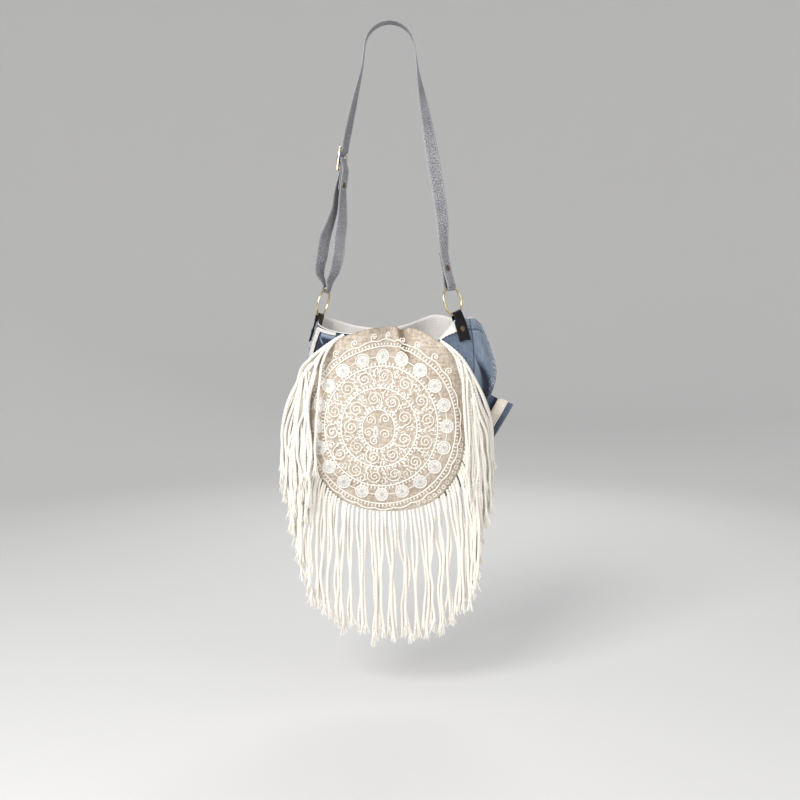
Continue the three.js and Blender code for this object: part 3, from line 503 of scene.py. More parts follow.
# Bag wall: turn 0 is the right side, 90 the back, 180 the left and 270 the front; level is the height
pouch = {
    "rim": -468, "bottom": -748, "foot": (-2, -2, -1), "boxiness": 2.4, "leftSplay": -0.06, "rimFade": 110,
    "snapX": 12, "snapReach": 40, "snapPinch": 0.78, "denim": 1.6, "gap": 0.6, "lining": 1.0,
    "soleShares": (0.3, 0.6, 0.85, 0.97), "soleDown": (14, 28, 38, 44),
    "sections": columns(
        "level left right front back splay",
        (-748, 62, 58, 14, 9, 0), (-740, 94, 88, 30, 23, 0), (-722, 124, 116, 45, 37, 0.05),
        (-690, 148, 139, 57, 48, 0.08), (-645, 157, 149, 63, 54, 0.12), (-600, 152, 153, 64, 56, 0.18),
        (-575, 144, 160, 63, 55, 0.24), (-540, 136, 163, 60, 53, 0.25), (-500, 126, 155, 58, 50, 0.28),
        (-468, 115, 143, 54, 46, 0.3)),
    "rimHeights": columns(
        "turn lift", (0, 6), (12, -10), (22, -14), (45, -4), (70, 18), (90, -2), (115, 0), (150, 12),
        (180, 9), (200, 2), (225, -6.5), (243, -11), (262, -11), (280, -11), (307, -22), (329, 11), (344, 13),
        (352, 13), (360, 6)),
    "folds": columns("turn level wide tall deep", (6, -590, 13, 30, 11), (62, -590, 12, 80, 8),
                     (122, -600, 13, 90, 8), (205, -540, 9, 45, 5)),
}
pouch["wall"] = pouch["denim"] + pouch["gap"] + pouch["lining"]


def rimFade(level):
    return np.maximum(0, 1 - (pouch["rim"] - level) / pouch["rimFade"]) ** 2


def facePoint(turn, level):
    turn, level = np.broadcast_arrays(np.asarray(turn, float), np.asarray(level, float))
    angle = np.mod(turn, 360)
    squared = lambda v: np.sign(v) * np.abs(v) ** (2 / pouch["boxiness"])
    across, deep = squared(np.cos(np.radians(angle))), squared(np.sin(np.radians(angle)))
    reach = lambda column: curveThrough(pouch["sections"], "level", column, level)
    splay = np.where(across > 0, reach("splay"), pouch["leftSplay"])
    x = across * np.where(across > 0, reach("right"), reach("left")) * (1 + splay * deep)
    y = deep * np.where(deep > 0, reach("back"), reach("front"))
    for foldTurn, foldLevel, wide, tall, depth in zip(*pouch["folds"].values()):
        off = np.mod(angle - foldTurn + 540, 360) - 180
        share = np.exp(-(off / wide) ** 2 - ((level - foldLevel) / tall) ** 2)
        shrink = 1 - depth * share / np.hypot(x, y)
        x, y = x * shrink, y * shrink
    fade = rimFade(level)
    y = y * (1 - pouch["snapPinch"] * fade * np.exp(-((x - pouch["snapX"]) / pouch["snapReach"]) ** 2))
    return np.stack([x, y, level + curveThrough(pouch["rimHeights"], "turn", "lift", angle) * fade], -1)


def faceNormal(turn, level):
    side = facePoint(turn + 0.6, level) - facePoint(turn - 0.6, level)
    high = np.minimum(np.asarray(level, float) + 1, pouch["rim"])
    low = np.maximum(np.asarray(level, float) - 1, pouch["bottom"])
    return unit(np.cross(side, facePoint(turn, high) - facePoint(turn, low)))


def wallPoint(turn, level, out):
    return facePoint(turn, level) + faceNormal(turn, level) * np.asarray(out)[..., None]


arcTurns = np.arange(90, 451, 3.0)
arcLevels = np.linspace(pouch["bottom"], pouch["rim"], 113)
arcSteps = np.linalg.norm(np.diff(facePoint(arcTurns[None], arcLevels[:, None]), axis=1), axis=2)
arcGrid = np.concatenate([np.zeros((len(arcLevels), 1)), np.cumsum(arcSteps, axis=1)], axis=1)
arcGrid -= arcGrid[:, [int(np.where(arcTurns == 270)[0][0])]]


def alongArcs(value, level, toTurn):  # cloth distance from the front's middle to turn, or back
    value, level = np.broadcast_arrays(np.asarray(value, float), np.asarray(level, float))
    shape = value.shape
    value, level = value.ravel(), level.ravel()
    row = np.clip((level - arcLevels[0]) / (arcLevels[1] - arcLevels[0]), 0, len(arcLevels) - 1.001)
    found = np.zeros(len(value))
    for n in np.unique(row.astype(int)):
        here = row.astype(int) == n
        part = row[here] - n
        pick = lambda m: (np.interp(value[here], arcGrid[m], arcTurns) if toTurn
                          else np.interp(value[here], arcTurns, arcGrid[m]))
        found[here] = lerp(pick(n), pick(n + 1), part)
    return found.reshape(shape)


def turnAt(arc, level):
    return alongArcs(arc, level, True)


def arcAt(turn, level):
    turn = np.asarray(turn, float)
    return alongArcs(np.where(turn < 90, turn + 360, turn), level, False)


def onWall(arc, level, out):
    return wallPoint(turnAt(arc, level), level, out)


def atHeight(arc, height, out):  # off the wall at a true height: over a dip of the rim it stands straight up
    lift = curveThrough(pouch["rimHeights"], "turn", "lift", np.mod(turnAt(arc, height), 360))
    level = height
    for n in range(8):
        level = np.minimum(pouch["rim"], height - lift * rimFade(level))
    point = onWall(arc, level, out)
    point[..., 2] += height - level - lift * rimFade(level)
    return point


def turnGap(turn, centre):
    return np.mod(turn - centre + 540, 360) - 180


# Denim body and lining: one worn cloth wall inside the other
seam = {"gusset": 343, "gussetLean": 0.134, "gussetWide": 0.5, "gussetEnd": (-585, -560), "yoke": -482,
        "yokeWide": 0.9, "yokeFrom": (337, 339), "yokeTo": (372, 366), "yokeShare": 0.75, "side": 3,
        "corner": 203, "back": 90, "ends": {"side": -640, "corner": -640, "back": -740}, "fade": 20,
        "ridge": 0.8, "ridgeOff": 1.6, "ridgeWide": 1.1, "slot": 0.6, "slotWide": 0.7, "groove": 0.9,
        "hem": 0.7, "hemTall": 7, "hemThick": 0.6}
# wear holds the denim's fading and rubbing, and also painted shade: the darkening down the gusset fold and
# two of the spots
wear = {"base": 0.42, "gusset": 0.55, "besideGusset": 0.08, "corner": -0.34, "bottom": 0.34, "seamPale": 0.24,
        "seamDark": 0.5, "hem": 0.1, "gussetFrom": (322, 330), "gussetTo": (372, 362), "cornerTurn": 222,
        "cornerWide": 30, "bottomFrom": (-745, -660), "foldShade": (0.3, 1.3), "foldShadeDeepens": (-520, -568),
        "rimRub": 1.0, "rimRubLevel": -477, "rimRubTall": 6, "rimRubFrom": (208, 214), "leftRub": 0.4,
        "leftRubTurn": 194, "leftRubWide": 6, "leftRubFrom": (-600, -560),
        # spots: painted shade in the gusset fold by the cuff, a bleached streak at the left corner, and a
        # painted shadow beside the corner tape
        "spots": columns("turn level wide tall lean paler", (6, -590, 7, 24, 0, -0.45),
                         (217, -489, 1.5, 6, 0.9, 1.15), (205, -520, 3, 16, 0, -0.25))}
darkFold = {"turn": 342, "level": -520, "lean": 0.333, "wide": (2.4, 6.6), "widens": (-515, -575),
            "starts": (-508, -530), "ends": (-596, -578), "deep": 5.5}
wallMesh = {"turnStep": 1.25, "fineStep": 0.4, "fine": (328, 356), "rimStep": 1.1, "rimUntil": -489,
            "lower": 82, "radius": 140}
creases = columns("turn level wide tall deep", (350, -520, 4, 26, 1.1), (345, -560, 5, 22, -1.0),
                  (330, -500, 3, 18, 0.9), (20, -540, 7, 34, 1.3), (35, -660, 8, 30, 1.2),
                  (75, -520, 9, 40, -1.2), (105, -560, 7, 60, 1.2), (140, -520, 7, 40, -1.1),
                  (165, -580, 6, 44, 1.2), (190, -620, 6, 40, -1.0), (150, -680, 9, 26, 1.1),
                  (60, -690, 9, 24, -1.2), (345, -600, 5, 30, 1.6), (357, -505, 3, 22, -1.2))
wrinkleShare = 0.9
flatFront = {"turn": 268, "wide": 62}  # the panel lies flat there
ripples = [(dice.uniform(2, 9), dice.uniform(0.012, 0.05), dice.uniform(0, 6.28), dice.uniform(0.12, 0.3))
           for n in range(14)]


def clothLift(turn, level):  # soft wrinkles shared by denim and lining
    lift = np.zeros(np.broadcast(turn, level).shape)
    for foldTurn, foldLevel, wide, tall, depth in zip(*creases.values()):
        lift += depth * np.exp(-(turnGap(turn, foldTurn) / wide) ** 2 - ((level - foldLevel) / tall) ** 2)
    for count, rise, phase, tall in ripples:
        lift += tall * np.sin(np.radians(turn) * round(count) + level * rise + phase)
    front = np.exp(-(turnGap(turn, flatFront["turn"]) / flatFront["wide"]) ** 6)
    return lift * (1 - front) * wrinkleShare


def foldShare(turn, level):  # the deep fold that runs down the gusset towards the cuff
    centre = darkFold["turn"] + (darkFold["level"] - level) * darkFold["lean"]
    wide = lerp(*darkFold["wide"], smooth(*darkFold["widens"], level))
    ends = smooth(*darkFold["starts"], level) * smooth(*darkFold["ends"], level)
    return np.exp(-(turnGap(turn, centre) / wide) ** 2) * ends


def wallShape(turn, level):
    return clothLift(turn, level) - darkFold["deep"] * foldShare(turn, level)


def wallGrid(turns, levels, out):  # the wall's rows, and those of its sole
    turn, level = np.meshgrid(turns, levels)
    grid = wallPoint(turn, level, np.broadcast_to(out, turn.shape))
    foot = np.array(pouch["foot"], float) + (0, 0, pouch["bottom"])
    sole = [lerp(grid[-1], foot + (0, 0, -np.mean(out)), t) for t in pouch["soleShares"]]
    return np.concatenate([grid, sole])


def wallFlat(turns, levels, radius):
    arcs = np.radians(np.append(turns, 360)) * radius
    return np.stack(np.meshgrid(arcs, np.concatenate([levels, levels[-1] - np.array(pouch["soleDown"])])), -1)


def gussetLine(level):  # the turn at which the gusset's seam runs
    return seam["gusset"] + (level - seam["yoke"]) * seam["gussetLean"]


def onward(turn):  # turns that run on past the right side
    return turn + 360 * (turn < 90)


def wallTone(turn, level, ridge, groove):  # 0 is unworn, 1 is rubbed pale; lower where painted shade lies in the gusset fold and beside the tape
    gusset = smooth(*wear["gussetFrom"], onward(turn)) * smooth(*wear["gussetTo"], onward(turn))
    beside = wear["besideGusset"] * smooth(1, -1, turnGap(turn, gussetLine(level)))
    corner = np.exp(-(turnGap(turn, wear["cornerTurn"]) / wear["cornerWide"]) ** 4)
    tone = lerp(wear["base"], wear["gusset"] - beside, gusset)
    tone = lerp(tone, wear["corner"], corner)
    tone = lerp(wear["bottom"], tone, smooth(*wear["bottomFrom"], level))
    tone += wear["seamPale"] * np.clip(ridge, 0, 1) - wear["seamDark"] * groove
    # painted shade down the deep gusset fold, darker towards the cuff
    tone -= lerp(*wear["foldShade"], smooth(*wear["foldShadeDeepens"], level)) * foldShare(turn, level)
    nearRim = np.exp(-((level - wear["rimRubLevel"]) / wear["rimRubTall"]) ** 2)
    tone += wear["rimRub"] * corner * nearRim * smooth(*wear["rimRubFrom"], turn)
    leftSide = np.exp(-(turnGap(turn, wear["leftRubTurn"]) / wear["leftRubWide"]) ** 2)
    tone += wear["leftRub"] * leftSide * smooth(*wear["leftRubFrom"], level)
    # the two darker spots are painted shade, the paler one a bleached streak
    for spotTurn, spotLevel, wide, tall, lean, paler in zip(*wear["spots"].values()):
        drop = level - spotLevel
        tone += paler * np.exp(-((turnGap(turn, spotTurn) + drop * lean) / wide) ** 2 - (drop / tall) ** 2)
    return tone


def makeWall():
    step, (fineFrom, fineTo) = wallMesh["turnStep"], wallMesh["fine"]
    turns = np.concatenate([np.arange(0, fineFrom, step), np.arange(fineFrom, fineTo, wallMesh["fineStep"]),
                            np.arange(fineTo, 360, step)])
    levels = np.concatenate([np.arange(pouch["rim"], wallMesh["rimUntil"], -wallMesh["rimStep"]),
                             np.linspace(wallMesh["rimUntil"] - 1, pouch["bottom"], wallMesh["lower"])])
    turn, level = np.meshgrid(turns, levels)
    ridge = np.zeros(turn.shape)
    for name, low in seam["ends"].items():
        near, fade = turnGap(turn, seam[name]), smooth(low, low + seam["fade"], level)
        ridge += np.exp(-((np.abs(near) - seam["ridgeOff"]) / seam["ridgeWide"]) ** 2) * seam["ridge"] * fade
        ridge -= np.exp(-(near / seam["slotWide"]) ** 2) * seam["slot"] * fade
    groove = np.exp(-(turnGap(turn, gussetLine(level)) / seam["gussetWide"]) ** 2)
    groove = groove * smooth(*seam["gussetEnd"], level)
    yoke = smooth(*seam["yokeFrom"], onward(turn)) * smooth(*seam["yokeTo"], onward(turn)) * seam["yokeShare"]
    groove = np.maximum(groove, yoke * np.exp(-((level - seam["yoke"]) / seam["yokeWide"]) ** 2))
    hem = np.exp(-((level - pouch["rim"]) / seam["hemTall"]) ** 4) * seam["hem"]
    tone = wallTone(turn, level, ridge, groove) + wear["hem"] * hem
    tone = np.concatenate([tone, np.repeat(tone[-1:], len(pouch["soleShares"]), axis=0)])
    shape = wallShape(turn, level)
    outer = wallGrid(turns, levels, shape + ridge + hem * seam["hemThick"] - seam["groove"] * groove)
    inner = wallGrid(turns, levels, shape - pouch["denim"])
    flat = wallFlat(turns, levels, wallMesh["radius"])
    mesh = clothMesh("denimBody", outer, inner, flat, True, {"wear": tone}, True)
    body = addPiece("denimBody", mesh, "washedDenim", "denim", "denim_body")


liningMesh = {"turnStep": 2.0, "levels": 84, "radius": 138, "puff": 0.25, "puffs": 24, "puffLean": 0.03,
              "proud": 1.7, "proudTall": 5}


def makeLining():
    turns = np.arange(0, 360, liningMesh["turnStep"])
    levels = np.linspace(pouch["rim"], pouch["bottom"], liningMesh["levels"])
    turn, level = np.meshgrid(turns, levels)
    shape = wallShape(turn, level)
    phase = np.radians(turn) * liningMesh["puffs"] + level * liningMesh["puffLean"]
    puff = liningMesh["puff"] * np.sin(phase)
    near = wallGrid(turns, levels, shape - pouch["denim"] - pouch["gap"])
    far = wallGrid(turns, levels, shape - pouch["wall"] + puff)
    proud = liningMesh["proud"] * np.exp(-((levels - pouch["rim"]) / liningMesh["proudTall"]) ** 2)
    for grid in (near, far):  # the lining stands a little proud of the denim's raw edge
        grid[:len(levels), :, 2] += proud[:, None]
    flat = wallFlat(turns, levels, liningMesh["radius"])
    facing = clothMesh("liningCloth", near, far, flat, True, None, True)
    inside = addPiece("liningCloth", facing, "liningCotton", "lining", "lining")


topstitch = {"rimLevel": -475.5, "yokeLevel": -485.5, "rimRuns": ((338, 532), (188, 203)),
             "yokeRun": (343, 353), "seamOff": 3.4, "seamTop": -480, "seamLow": {"side": -560, "back": -736},
             "seamStep": 4.0, "lift": 0.75, "tone": 0.3, "spacing": 3.8, "size": (2.9, 0.9, 0.7), "seed": 10}


def makeTopstitching():  # thread rows beside the seams and below the rim
    runs = [(np.arange(*run, 1.0), topstitch["rimLevel"]) for run in topstitch["rimRuns"]]
    runs.append((np.arange(*topstitch["yokeRun"], 0.5), topstitch["yokeLevel"]))
    rows = [(turn, np.full(turn.shape, level)) for turn, level in runs]
    for name, low in topstitch["seamLow"].items():
        for off in (-topstitch["seamOff"], topstitch["seamOff"]):
            level = np.arange(topstitch["seamTop"], low, -topstitch["seamStep"])
            rows.append((np.full(level.shape, seam[name] + off), level))
    paths = [wallPoint(turn, level, wallShape(turn, level) + topstitch["lift"]) for turn, level in rows]
    outs = [faceNormal(turn, level) for turn, level in rows]
    sewRows("denimStitches", paths, outs, [topstitch["tone"]] * len(rows), topstitch, "seamThread", "denim",
            "denim_body")


fray = {"runs": ((seam["side"], -600, -478, 130), (199, -575, -486, 190)), "stray": 1.2, "rootOut": 0.5,
        "lean": ((0, 0.4), (0, 0.4), (-0.4, 0.5)), "long": (2.2, 6.0), "shares": (0, 0.35, 0.7, 1),
        "sag": 1.6, "foldLimit": 0.3, "tone": 0.55, "radius": 0.34}


def makeFraying():  # loose warp ends along the raw side seam and the left corner
    lines = []
    t = np.array(fray["shares"])[:, None]
    for centre, low, high, count in fray["runs"]:
        for level in dice.uniform(low, high, count):
            turn, level = np.array(centre + dice.normal(0, fray["stray"])), np.array(level)
            root = wallPoint(turn, level, wallShape(turn, level) + fray["rootOut"])
            way = unit(faceNormal(turn, level) + np.array([dice.normal(*lean) for lean in fray["lean"]]))
            long = dice.uniform(*fray["long"])
            if foldShare(turn, level) < fray["foldLimit"]:  # none stands in the dark fold
                lines.append(root + way * long * t + np.array([0, 0, -fray["sag"]]) * t**2)
    mesh = grown("frayedEnds", lines, fibreTree, {"tone": [np.full(len(t), fray["tone"])] * len(lines)},
                 Material=finish["seamThread"], Radius=fray["radius"] * mm)
    addPiece("frayedEnds", mesh, "seamThread", "denim", "denim_body")


makeWall()
makeLining()
makeTopstitching()
makeFraying()
print("bag wall made")


# Front panel: a round of linen on the front, its lower edge hanging free
panel = {"level": -621, "side": -2, "half": 122, "above": 150, "aboveSquare": 3, "below": 133,
         "belowSquare": 2.4, "gap": 1.4, "stand": 2.2, "thick": 1.6, "freeLevel": -712, "freeLean": 0.6,
         "leanSpan": 10, "endAngle": 88.5, "rows": 110, "columns": 100, "edgeEase": 0.97, "hem": 0.5,
         "hemWide": 5, "soft": 0.45, "edgeDarker": 0.3, "edgeDarkerWide": 3}
crease = {"at": 22, "lean": -0.16, "deep": 4.6, "from": (78, 128), "valleyWide": 3.4, "valley": 0.25,
          "flanks": ((-8.5, 5.5, 1), (8, 6, 0.8)), "dip": 7, "dipWide": 11, "dipFrom": (105, 150),
          "soilAndShade": 0.95, "soilAndShadeWide": 8.5, "soilAndShadeFrom": (82, 112)}


def panelShape(rise):
    high = np.asarray(rise) > 0
    tall = np.where(high, panel["above"], panel["below"])
    power = np.where(high, panel["aboveSquare"], panel["belowSquare"])
    return tall, power


def panelWidthAt(rise):
    tall, power = panelShape(rise)
    return panel["half"] * (1 - np.minimum(1, np.abs(rise) / tall) ** power) ** (1 / power)


def onPanel(across, rise, over):
    across, rise, over = np.broadcast_arrays(*(np.asarray(v, float) for v in (across, rise, over)))
    level = panel["level"] + rise
    out = panel["gap"] + panel["stand"] * rimFade(level) + over
    point = atHeight(panel["side"] + across, np.maximum(level, panel["freeLevel"]), out)
    fall = np.minimum(0, level - panel["freeLevel"])
    above = onWall(panel["side"] + across, np.full(level.shape, panel["freeLevel"] + panel["leanSpan"]), out)
    edge = onWall(panel["side"] + across, np.full(level.shape, float(panel["freeLevel"])), out)
    lean = (above[..., 1] - edge[..., 1]) / panel["leanSpan"] * panel["freeLean"]
    return np.stack([point[..., 0], point[..., 1] + lean * fall, point[..., 2] + fall], -1)


def edgeAt(angle, beyond):  # place on the panel's edge, its angle measured from straight down
    sine, cosine = np.sin(np.radians(angle)), np.cos(np.radians(angle))
    tall, power = panelShape(-cosine)
    size = (np.abs(sine / panel["half"]) ** power + np.abs(cosine / tall) ** power) ** (-1 / power) + beyond
    return sine * size, -cosine * size


def creaseShare(across, rise, wide):  # how near a place is to the crease under the snap
    off = across - crease["at"] + (panel["above"] - rise) * crease["lean"]
    return np.exp(-(off / wide) ** 2), off


def panelRelief(across, rise):  # a crease at the top, soft waves elsewhere
    valley, off = creaseShare(across, rise, crease["valleyWide"])
    flanks = sum(share * np.exp(-((off - place) / wide) ** 2) for place, wide, share in crease["flanks"])
    waves = panel["soft"] * np.sin(across * 0.07 + rise * 0.031) * np.sin(rise * 0.052 + 1.3)
    folded = crease["deep"] * (flanks - crease["valley"] * valley) * smooth(*crease["from"], rise)
    return folded + waves + panel["soft"]


def panelSpot(across, rise, lift):  # a place on the panel's face
    dip = crease["dip"] * creaseShare(across, rise, crease["dipWide"])[0] * smooth(*crease["dipFrom"], rise)
    return onPanel(across, rise - dip, panel["thick"] + panelRelief(across, rise) + lift)


def panelNormal(across, rise):
    right = panelSpot(across + 1, rise, 0) - panelSpot(across - 1, rise, 0)
    up = panelSpot(across, rise + 1, 0) - panelSpot(across, rise - 1, 0)
    return unit(np.cross(right, up))


def makePanel():
    lean = np.radians(np.linspace(panel["endAngle"], -panel["endAngle"], panel["rows"]))
    rise = np.sin(lean) * np.where(lean > 0, panel["above"], panel["below"])
    quarter = math.pi / 2 * panel["edgeEase"]
    share = np.sin(np.linspace(-1, 1, panel["columns"]) * quarter) / math.sin(quarter)
    across = panelWidthAt(rise)[:, None] * share[None]
    rises = np.broadcast_to(rise[:, None], across.shape)
    toEdge = panelWidthAt(rise)[:, None] - np.abs(across)
    face = panelSpot(across, rises, panel["hem"] * np.exp(-(toEdge / panel["hemWide"]) ** 4))
    rear = panelSpot(across, rises, -np.minimum(panel["soft"], panelRelief(across, rises)) - panel["thick"])
    # the crease under the snap is darkened: part painted shade, part soil
    creased = creaseShare(across, rises, crease["soilAndShadeWide"])[0] * smooth(*crease["soilAndShadeFrom"], rises)
    # darker along the panel's edge
    nearEdge = np.exp(-(toEdge / panel["edgeDarkerWide"]) ** 2)
    soilAndShade = crease["soilAndShade"] * creased + panel["edgeDarker"] * nearEdge
    mesh = clothMesh("frontPanel", face, rear, np.stack([across, rises], -1), attributes={"soilAndShade": soilAndShade})
    return addPiece("frontPanel", mesh, "naturalLinen", "linen", "front_panel")


frontPanel = makePanel()
print("panel made")


# Fringe: cotton cords that hang from the panel's edge, each ending in a brushed tuft
fringe = {"from": -151, "to": 145, "count": 114, "stray": 0.9, "hangLevel": -640, "rootOut": 1.5,
          "rootIn": 1.0, "headMid": 4.3, "leave": 9, "settle": 26, "radius": 2.5, "pitch": 16, "step": 2.5,
          "ply": 0.15, "samples": 84, "long": 212, "kinks": ((1.5, (90, 170)), (0.55, (40, 70))),
          "kinkFrom": (4, 45), "rightFrom": (90, 120), "leanShare": (0.75, 1.07), "leanGain": (1, 1.2),
          "pullFrom": (0.1, 0.6), "pullEases": (0.72, 1), "pullLoss": 0.6, "pileIn": 4.2, "pileKink": 0.5,
          "pileLeast": 5.2, "bunch": (2, 5), "pull": (0.45, 0.78), "layers": (0.0, 4.6, 1.6, 6.0),
          "swayLayer": 6, "sways": ((75, 1.0), (100, 0.6), (180, 0.35)), "lengthVary": 0.028,
          "tone": (0.32, 0.05), "fat": (1, 0.05), "endFat": (1.05, 1.1, 1.12, 1.1),
          "lengths": columns("angle share", (-151, 0.915), (-105, 0.9), (-82, 0.845), (-62, 0.82),
                             (-45, 0.84), (-20, 0.85), (10, 0.865), (40, 0.87), (60, 0.9), (80, 0.915),
                             (145, 0.915)),
          "fan": columns("angle swing pile", (-149, -90, 14), (-138, -72, 15), (-126, -46, 14),
                         (-112, -28, 12), (-90, -14, 10), (-50, -6, 8), (0, 5, 8), (50, 12, 8), (80, 17, 9),
                         (105, 30, 11), (125, 50, 13), (144, 84, 14))}
curtain = {"count": 14, "sides": ((-150, -112, -104, -170), (106, 144, 112, 173)), "swayMost": 1.1,
           "layer": 4.5, "layerStep": 2.4, "length": (0.86, 0.95)}
tuft = {"fibres": 18, "long": 17, "longVary": (0.65, 1.1), "radius": 0.75, "root": 1.9, "flare": (4.2, 7.0),
        "drift": 1.2, "shares": (-0.12, 0.25, 0.6, 1.0), "tone": (0.5, 0.08)}


def fringeAngles():  # equal steps along the panel's edge
    angle = np.linspace(fringe["from"], fringe["to"], 2000)
    run = np.stack(edgeAt(angle, 0), -1)
    far = alongRun(run)
    even = np.linspace(0, far[-1], fringe["count"]) + dice.normal(0, fringe["stray"], fringe["count"])
    return np.interp(np.clip(even, 0, far[-1]), far, angle)


def strandPath(angle, layer, lengthShare, pull, sway):
    fan = lambda column: float(curveThrough(fringe["fan"], "angle", column, np.array(angle)))
    share = np.linspace(0, 1, fringe["samples"])
    fall = share * fringe["long"] * lengthShare
    settled, start = smooth(0, fringe["settle"], fall), smooth(0, fringe["leave"], fall)
    across, rise = edgeAt(angle, fringe["headMid"])
    inner = edgeAt(angle, fringe["rootIn"])
    kinks = [(dice.normal(0, tall), dice.uniform(*span), dice.uniform(0, math.tau))
             for tall, span in fringe["kinks"] for n in range(2)]
    kinked = smooth(*fringe["kinkFrom"], fall)
    waves = [tall * np.sin(fall * math.tau / span + phase) * kinked for tall, span, phase in kinks]
    rightSide = smooth(*fringe["rightFrom"], angle)  # the right cords lean outwards all the way down
    leant = np.sin(np.minimum(1, share / lerp(*fringe["leanShare"], rightSide)) * math.pi / 2)
    eased = 1 - fringe["pullLoss"] * smooth(*fringe["pullEases"], share)
    pulled = pull * smooth(*fringe["pullFrom"], share) * eased
    gain = sway * lerp(*fringe["leanGain"], rightSide)
    swing = fan("swing") * gain * leant + sum(waves[::2]) + pulled
    pile = fan("pile") - fringe["pileIn"] + layer + fringe["pileKink"] * sum(waves[1::2])
    rootLevel = panel["level"] + rise
    side = lerp(inner[0], across, start)
    if rootLevel < fringe["hangLevel"]:
        base = onPanel(side, np.full(share.shape, rise), lerp(fringe["rootOut"], pile, settled))
        base[:, 2] += lerp(inner[1] - rise, 0, start)
        return base + np.stack([swing, np.zeros(len(share)), -fall], -1)
    level = rootLevel - fall
    stand = panel["gap"] + panel["stand"] * rimFade(np.array(rootLevel)) + fringe["rootOut"]
    out = lerp(stand, np.maximum(pile, fringe["pileLeast"]), settled)
    point = atHeight(panel["side"] + side + swing, np.maximum(level, fringe["hangLevel"]), out)
    point[:, 2] += np.minimum(0, level - fringe["hangLevel"])
    return point


def tuftFibres(path):
    end, ahead = path[-1], unit(path[-1] - path[-4])
    side = unit(np.cross(ahead, (0.3, 0.9, 0.2)))
    other = np.cross(ahead, side)
    lines = []
    flare = dice.uniform(*tuft["flare"])
    t = np.array(tuft["shares"])[:, None]
    for n in range(tuft["fibres"]):
        angle, out = dice.uniform(0, math.tau), math.sqrt(dice.uniform(0.02, 1))
        spoke = side * math.cos(angle) + other * math.sin(angle)
        long = tuft["long"] * dice.uniform(*tuft["longVary"])
        drift = side * dice.normal(0, tuft["drift"]) + other * dice.normal(0, tuft["drift"])
        opened = lerp(tuft["root"], flare, np.clip(t, 0, 1))
        lines.append(end + ahead * long * t + spoke * out * opened + drift * t**2)
    return lines


def rowCords():  # the cords along the panel's edge, bunched so that neighbours lean together
    angles = fringeAngles()
    count = len(angles)
    bunches = np.repeat(np.arange(count), dice.integers(*fringe["bunch"], count))[:count]
    lateral = edgeAt(angles, 0)[0] + curveThrough(fringe["fan"], "angle", "swing", angles)
    cords = []
    for n, angle in enumerate(angles):
        mates = np.where(bunches == bunches[n])[0]
        pull = (lateral[mates].mean() - lateral[n]) * dice.uniform(*fringe["pull"])
        least = next(least for limit, least in fringe["sways"] if abs(angle) < limit)
        sway = dice.uniform(least, 1.0) if least < 1 else 1.0
        layer = fringe["layers"][n - mates[0]] + fringe["swayLayer"] * (1 - sway)
        share = float(curveThrough(fringe["lengths"], "angle", "share", np.array(angle)))
        cords.append((angle, layer, share + dice.normal(0, fringe["lengthVary"]), pull, sway))
    return cords


def curtainCords():  # a second row hangs over the upper ends of the panel's sides
    cords = []
    for first, last, nearX, farX in curtain["sides"]:
        ends = dice.permutation(np.linspace(nearX, farX, curtain["count"]))
        for n, angle in enumerate(np.linspace(first, last, curtain["count"])):
            root = panel["side"] + edgeAt(angle, fringe["headMid"])[0]
            reach = curveThrough(fringe["fan"], "angle", "swing", np.array(angle))
            sway = float(np.clip((ends[n] - root) / reach, 0, curtain["swayMost"]))
            layer = curtain["layer"] + curtain["layerStep"] * (n % 3)
            cords.append((angle, layer, dice.uniform(*curtain["length"]), 0.0, sway))
    return cords


def makeFringe():
    paths = [strandPath(*cord) for cord in rowCords() + curtainCords()]
    tufts = [line for path in paths for line in tuftFibres(path)]
    paths.sort(key=lambda path: path[-1][0])
    tones = [np.full(len(p), dice.normal(*fringe["tone"])) for p in paths]
    fats = [np.append(np.full(len(p) - len(fringe["endFat"]), dice.normal(*fringe["fat"])), fringe["endFat"])
            for p in paths]
    third = len(paths) / 3
    made = []
    for n, name in enumerate(("fringeLeft", "fringeMiddle", "fringeRight")):
        part = slice(round(n * third), round((n + 1) * third))
        mesh = grown(name, paths[part], cordTree, {"tone": tones[part], "fat": fats[part]},
                     Material=finish["cordCotton"], Radius=fringe["radius"] * mm, Pitch=fringe["pitch"] * mm,
                     Step=fringe["step"] * mm, Ply=fringe["ply"])
        made.append(addPiece(name, mesh, "cordCotton", "cotton_cord", "fringe"))
    tones = [np.full(len(line), dice.normal(*tuft["tone"])) for line in tufts]
    brush = grown("fringeTufts", tufts, fibreTree, {"tone": tones}, Material=finish["cordCotton"],
                  Radius=tuft["radius"] * mm)
    made.append(addPiece("fringeTufts", brush, "cordCotton", "cotton_cord", "fringe"))
    return made


fringePieces = makeFringe()
print("fringe made")


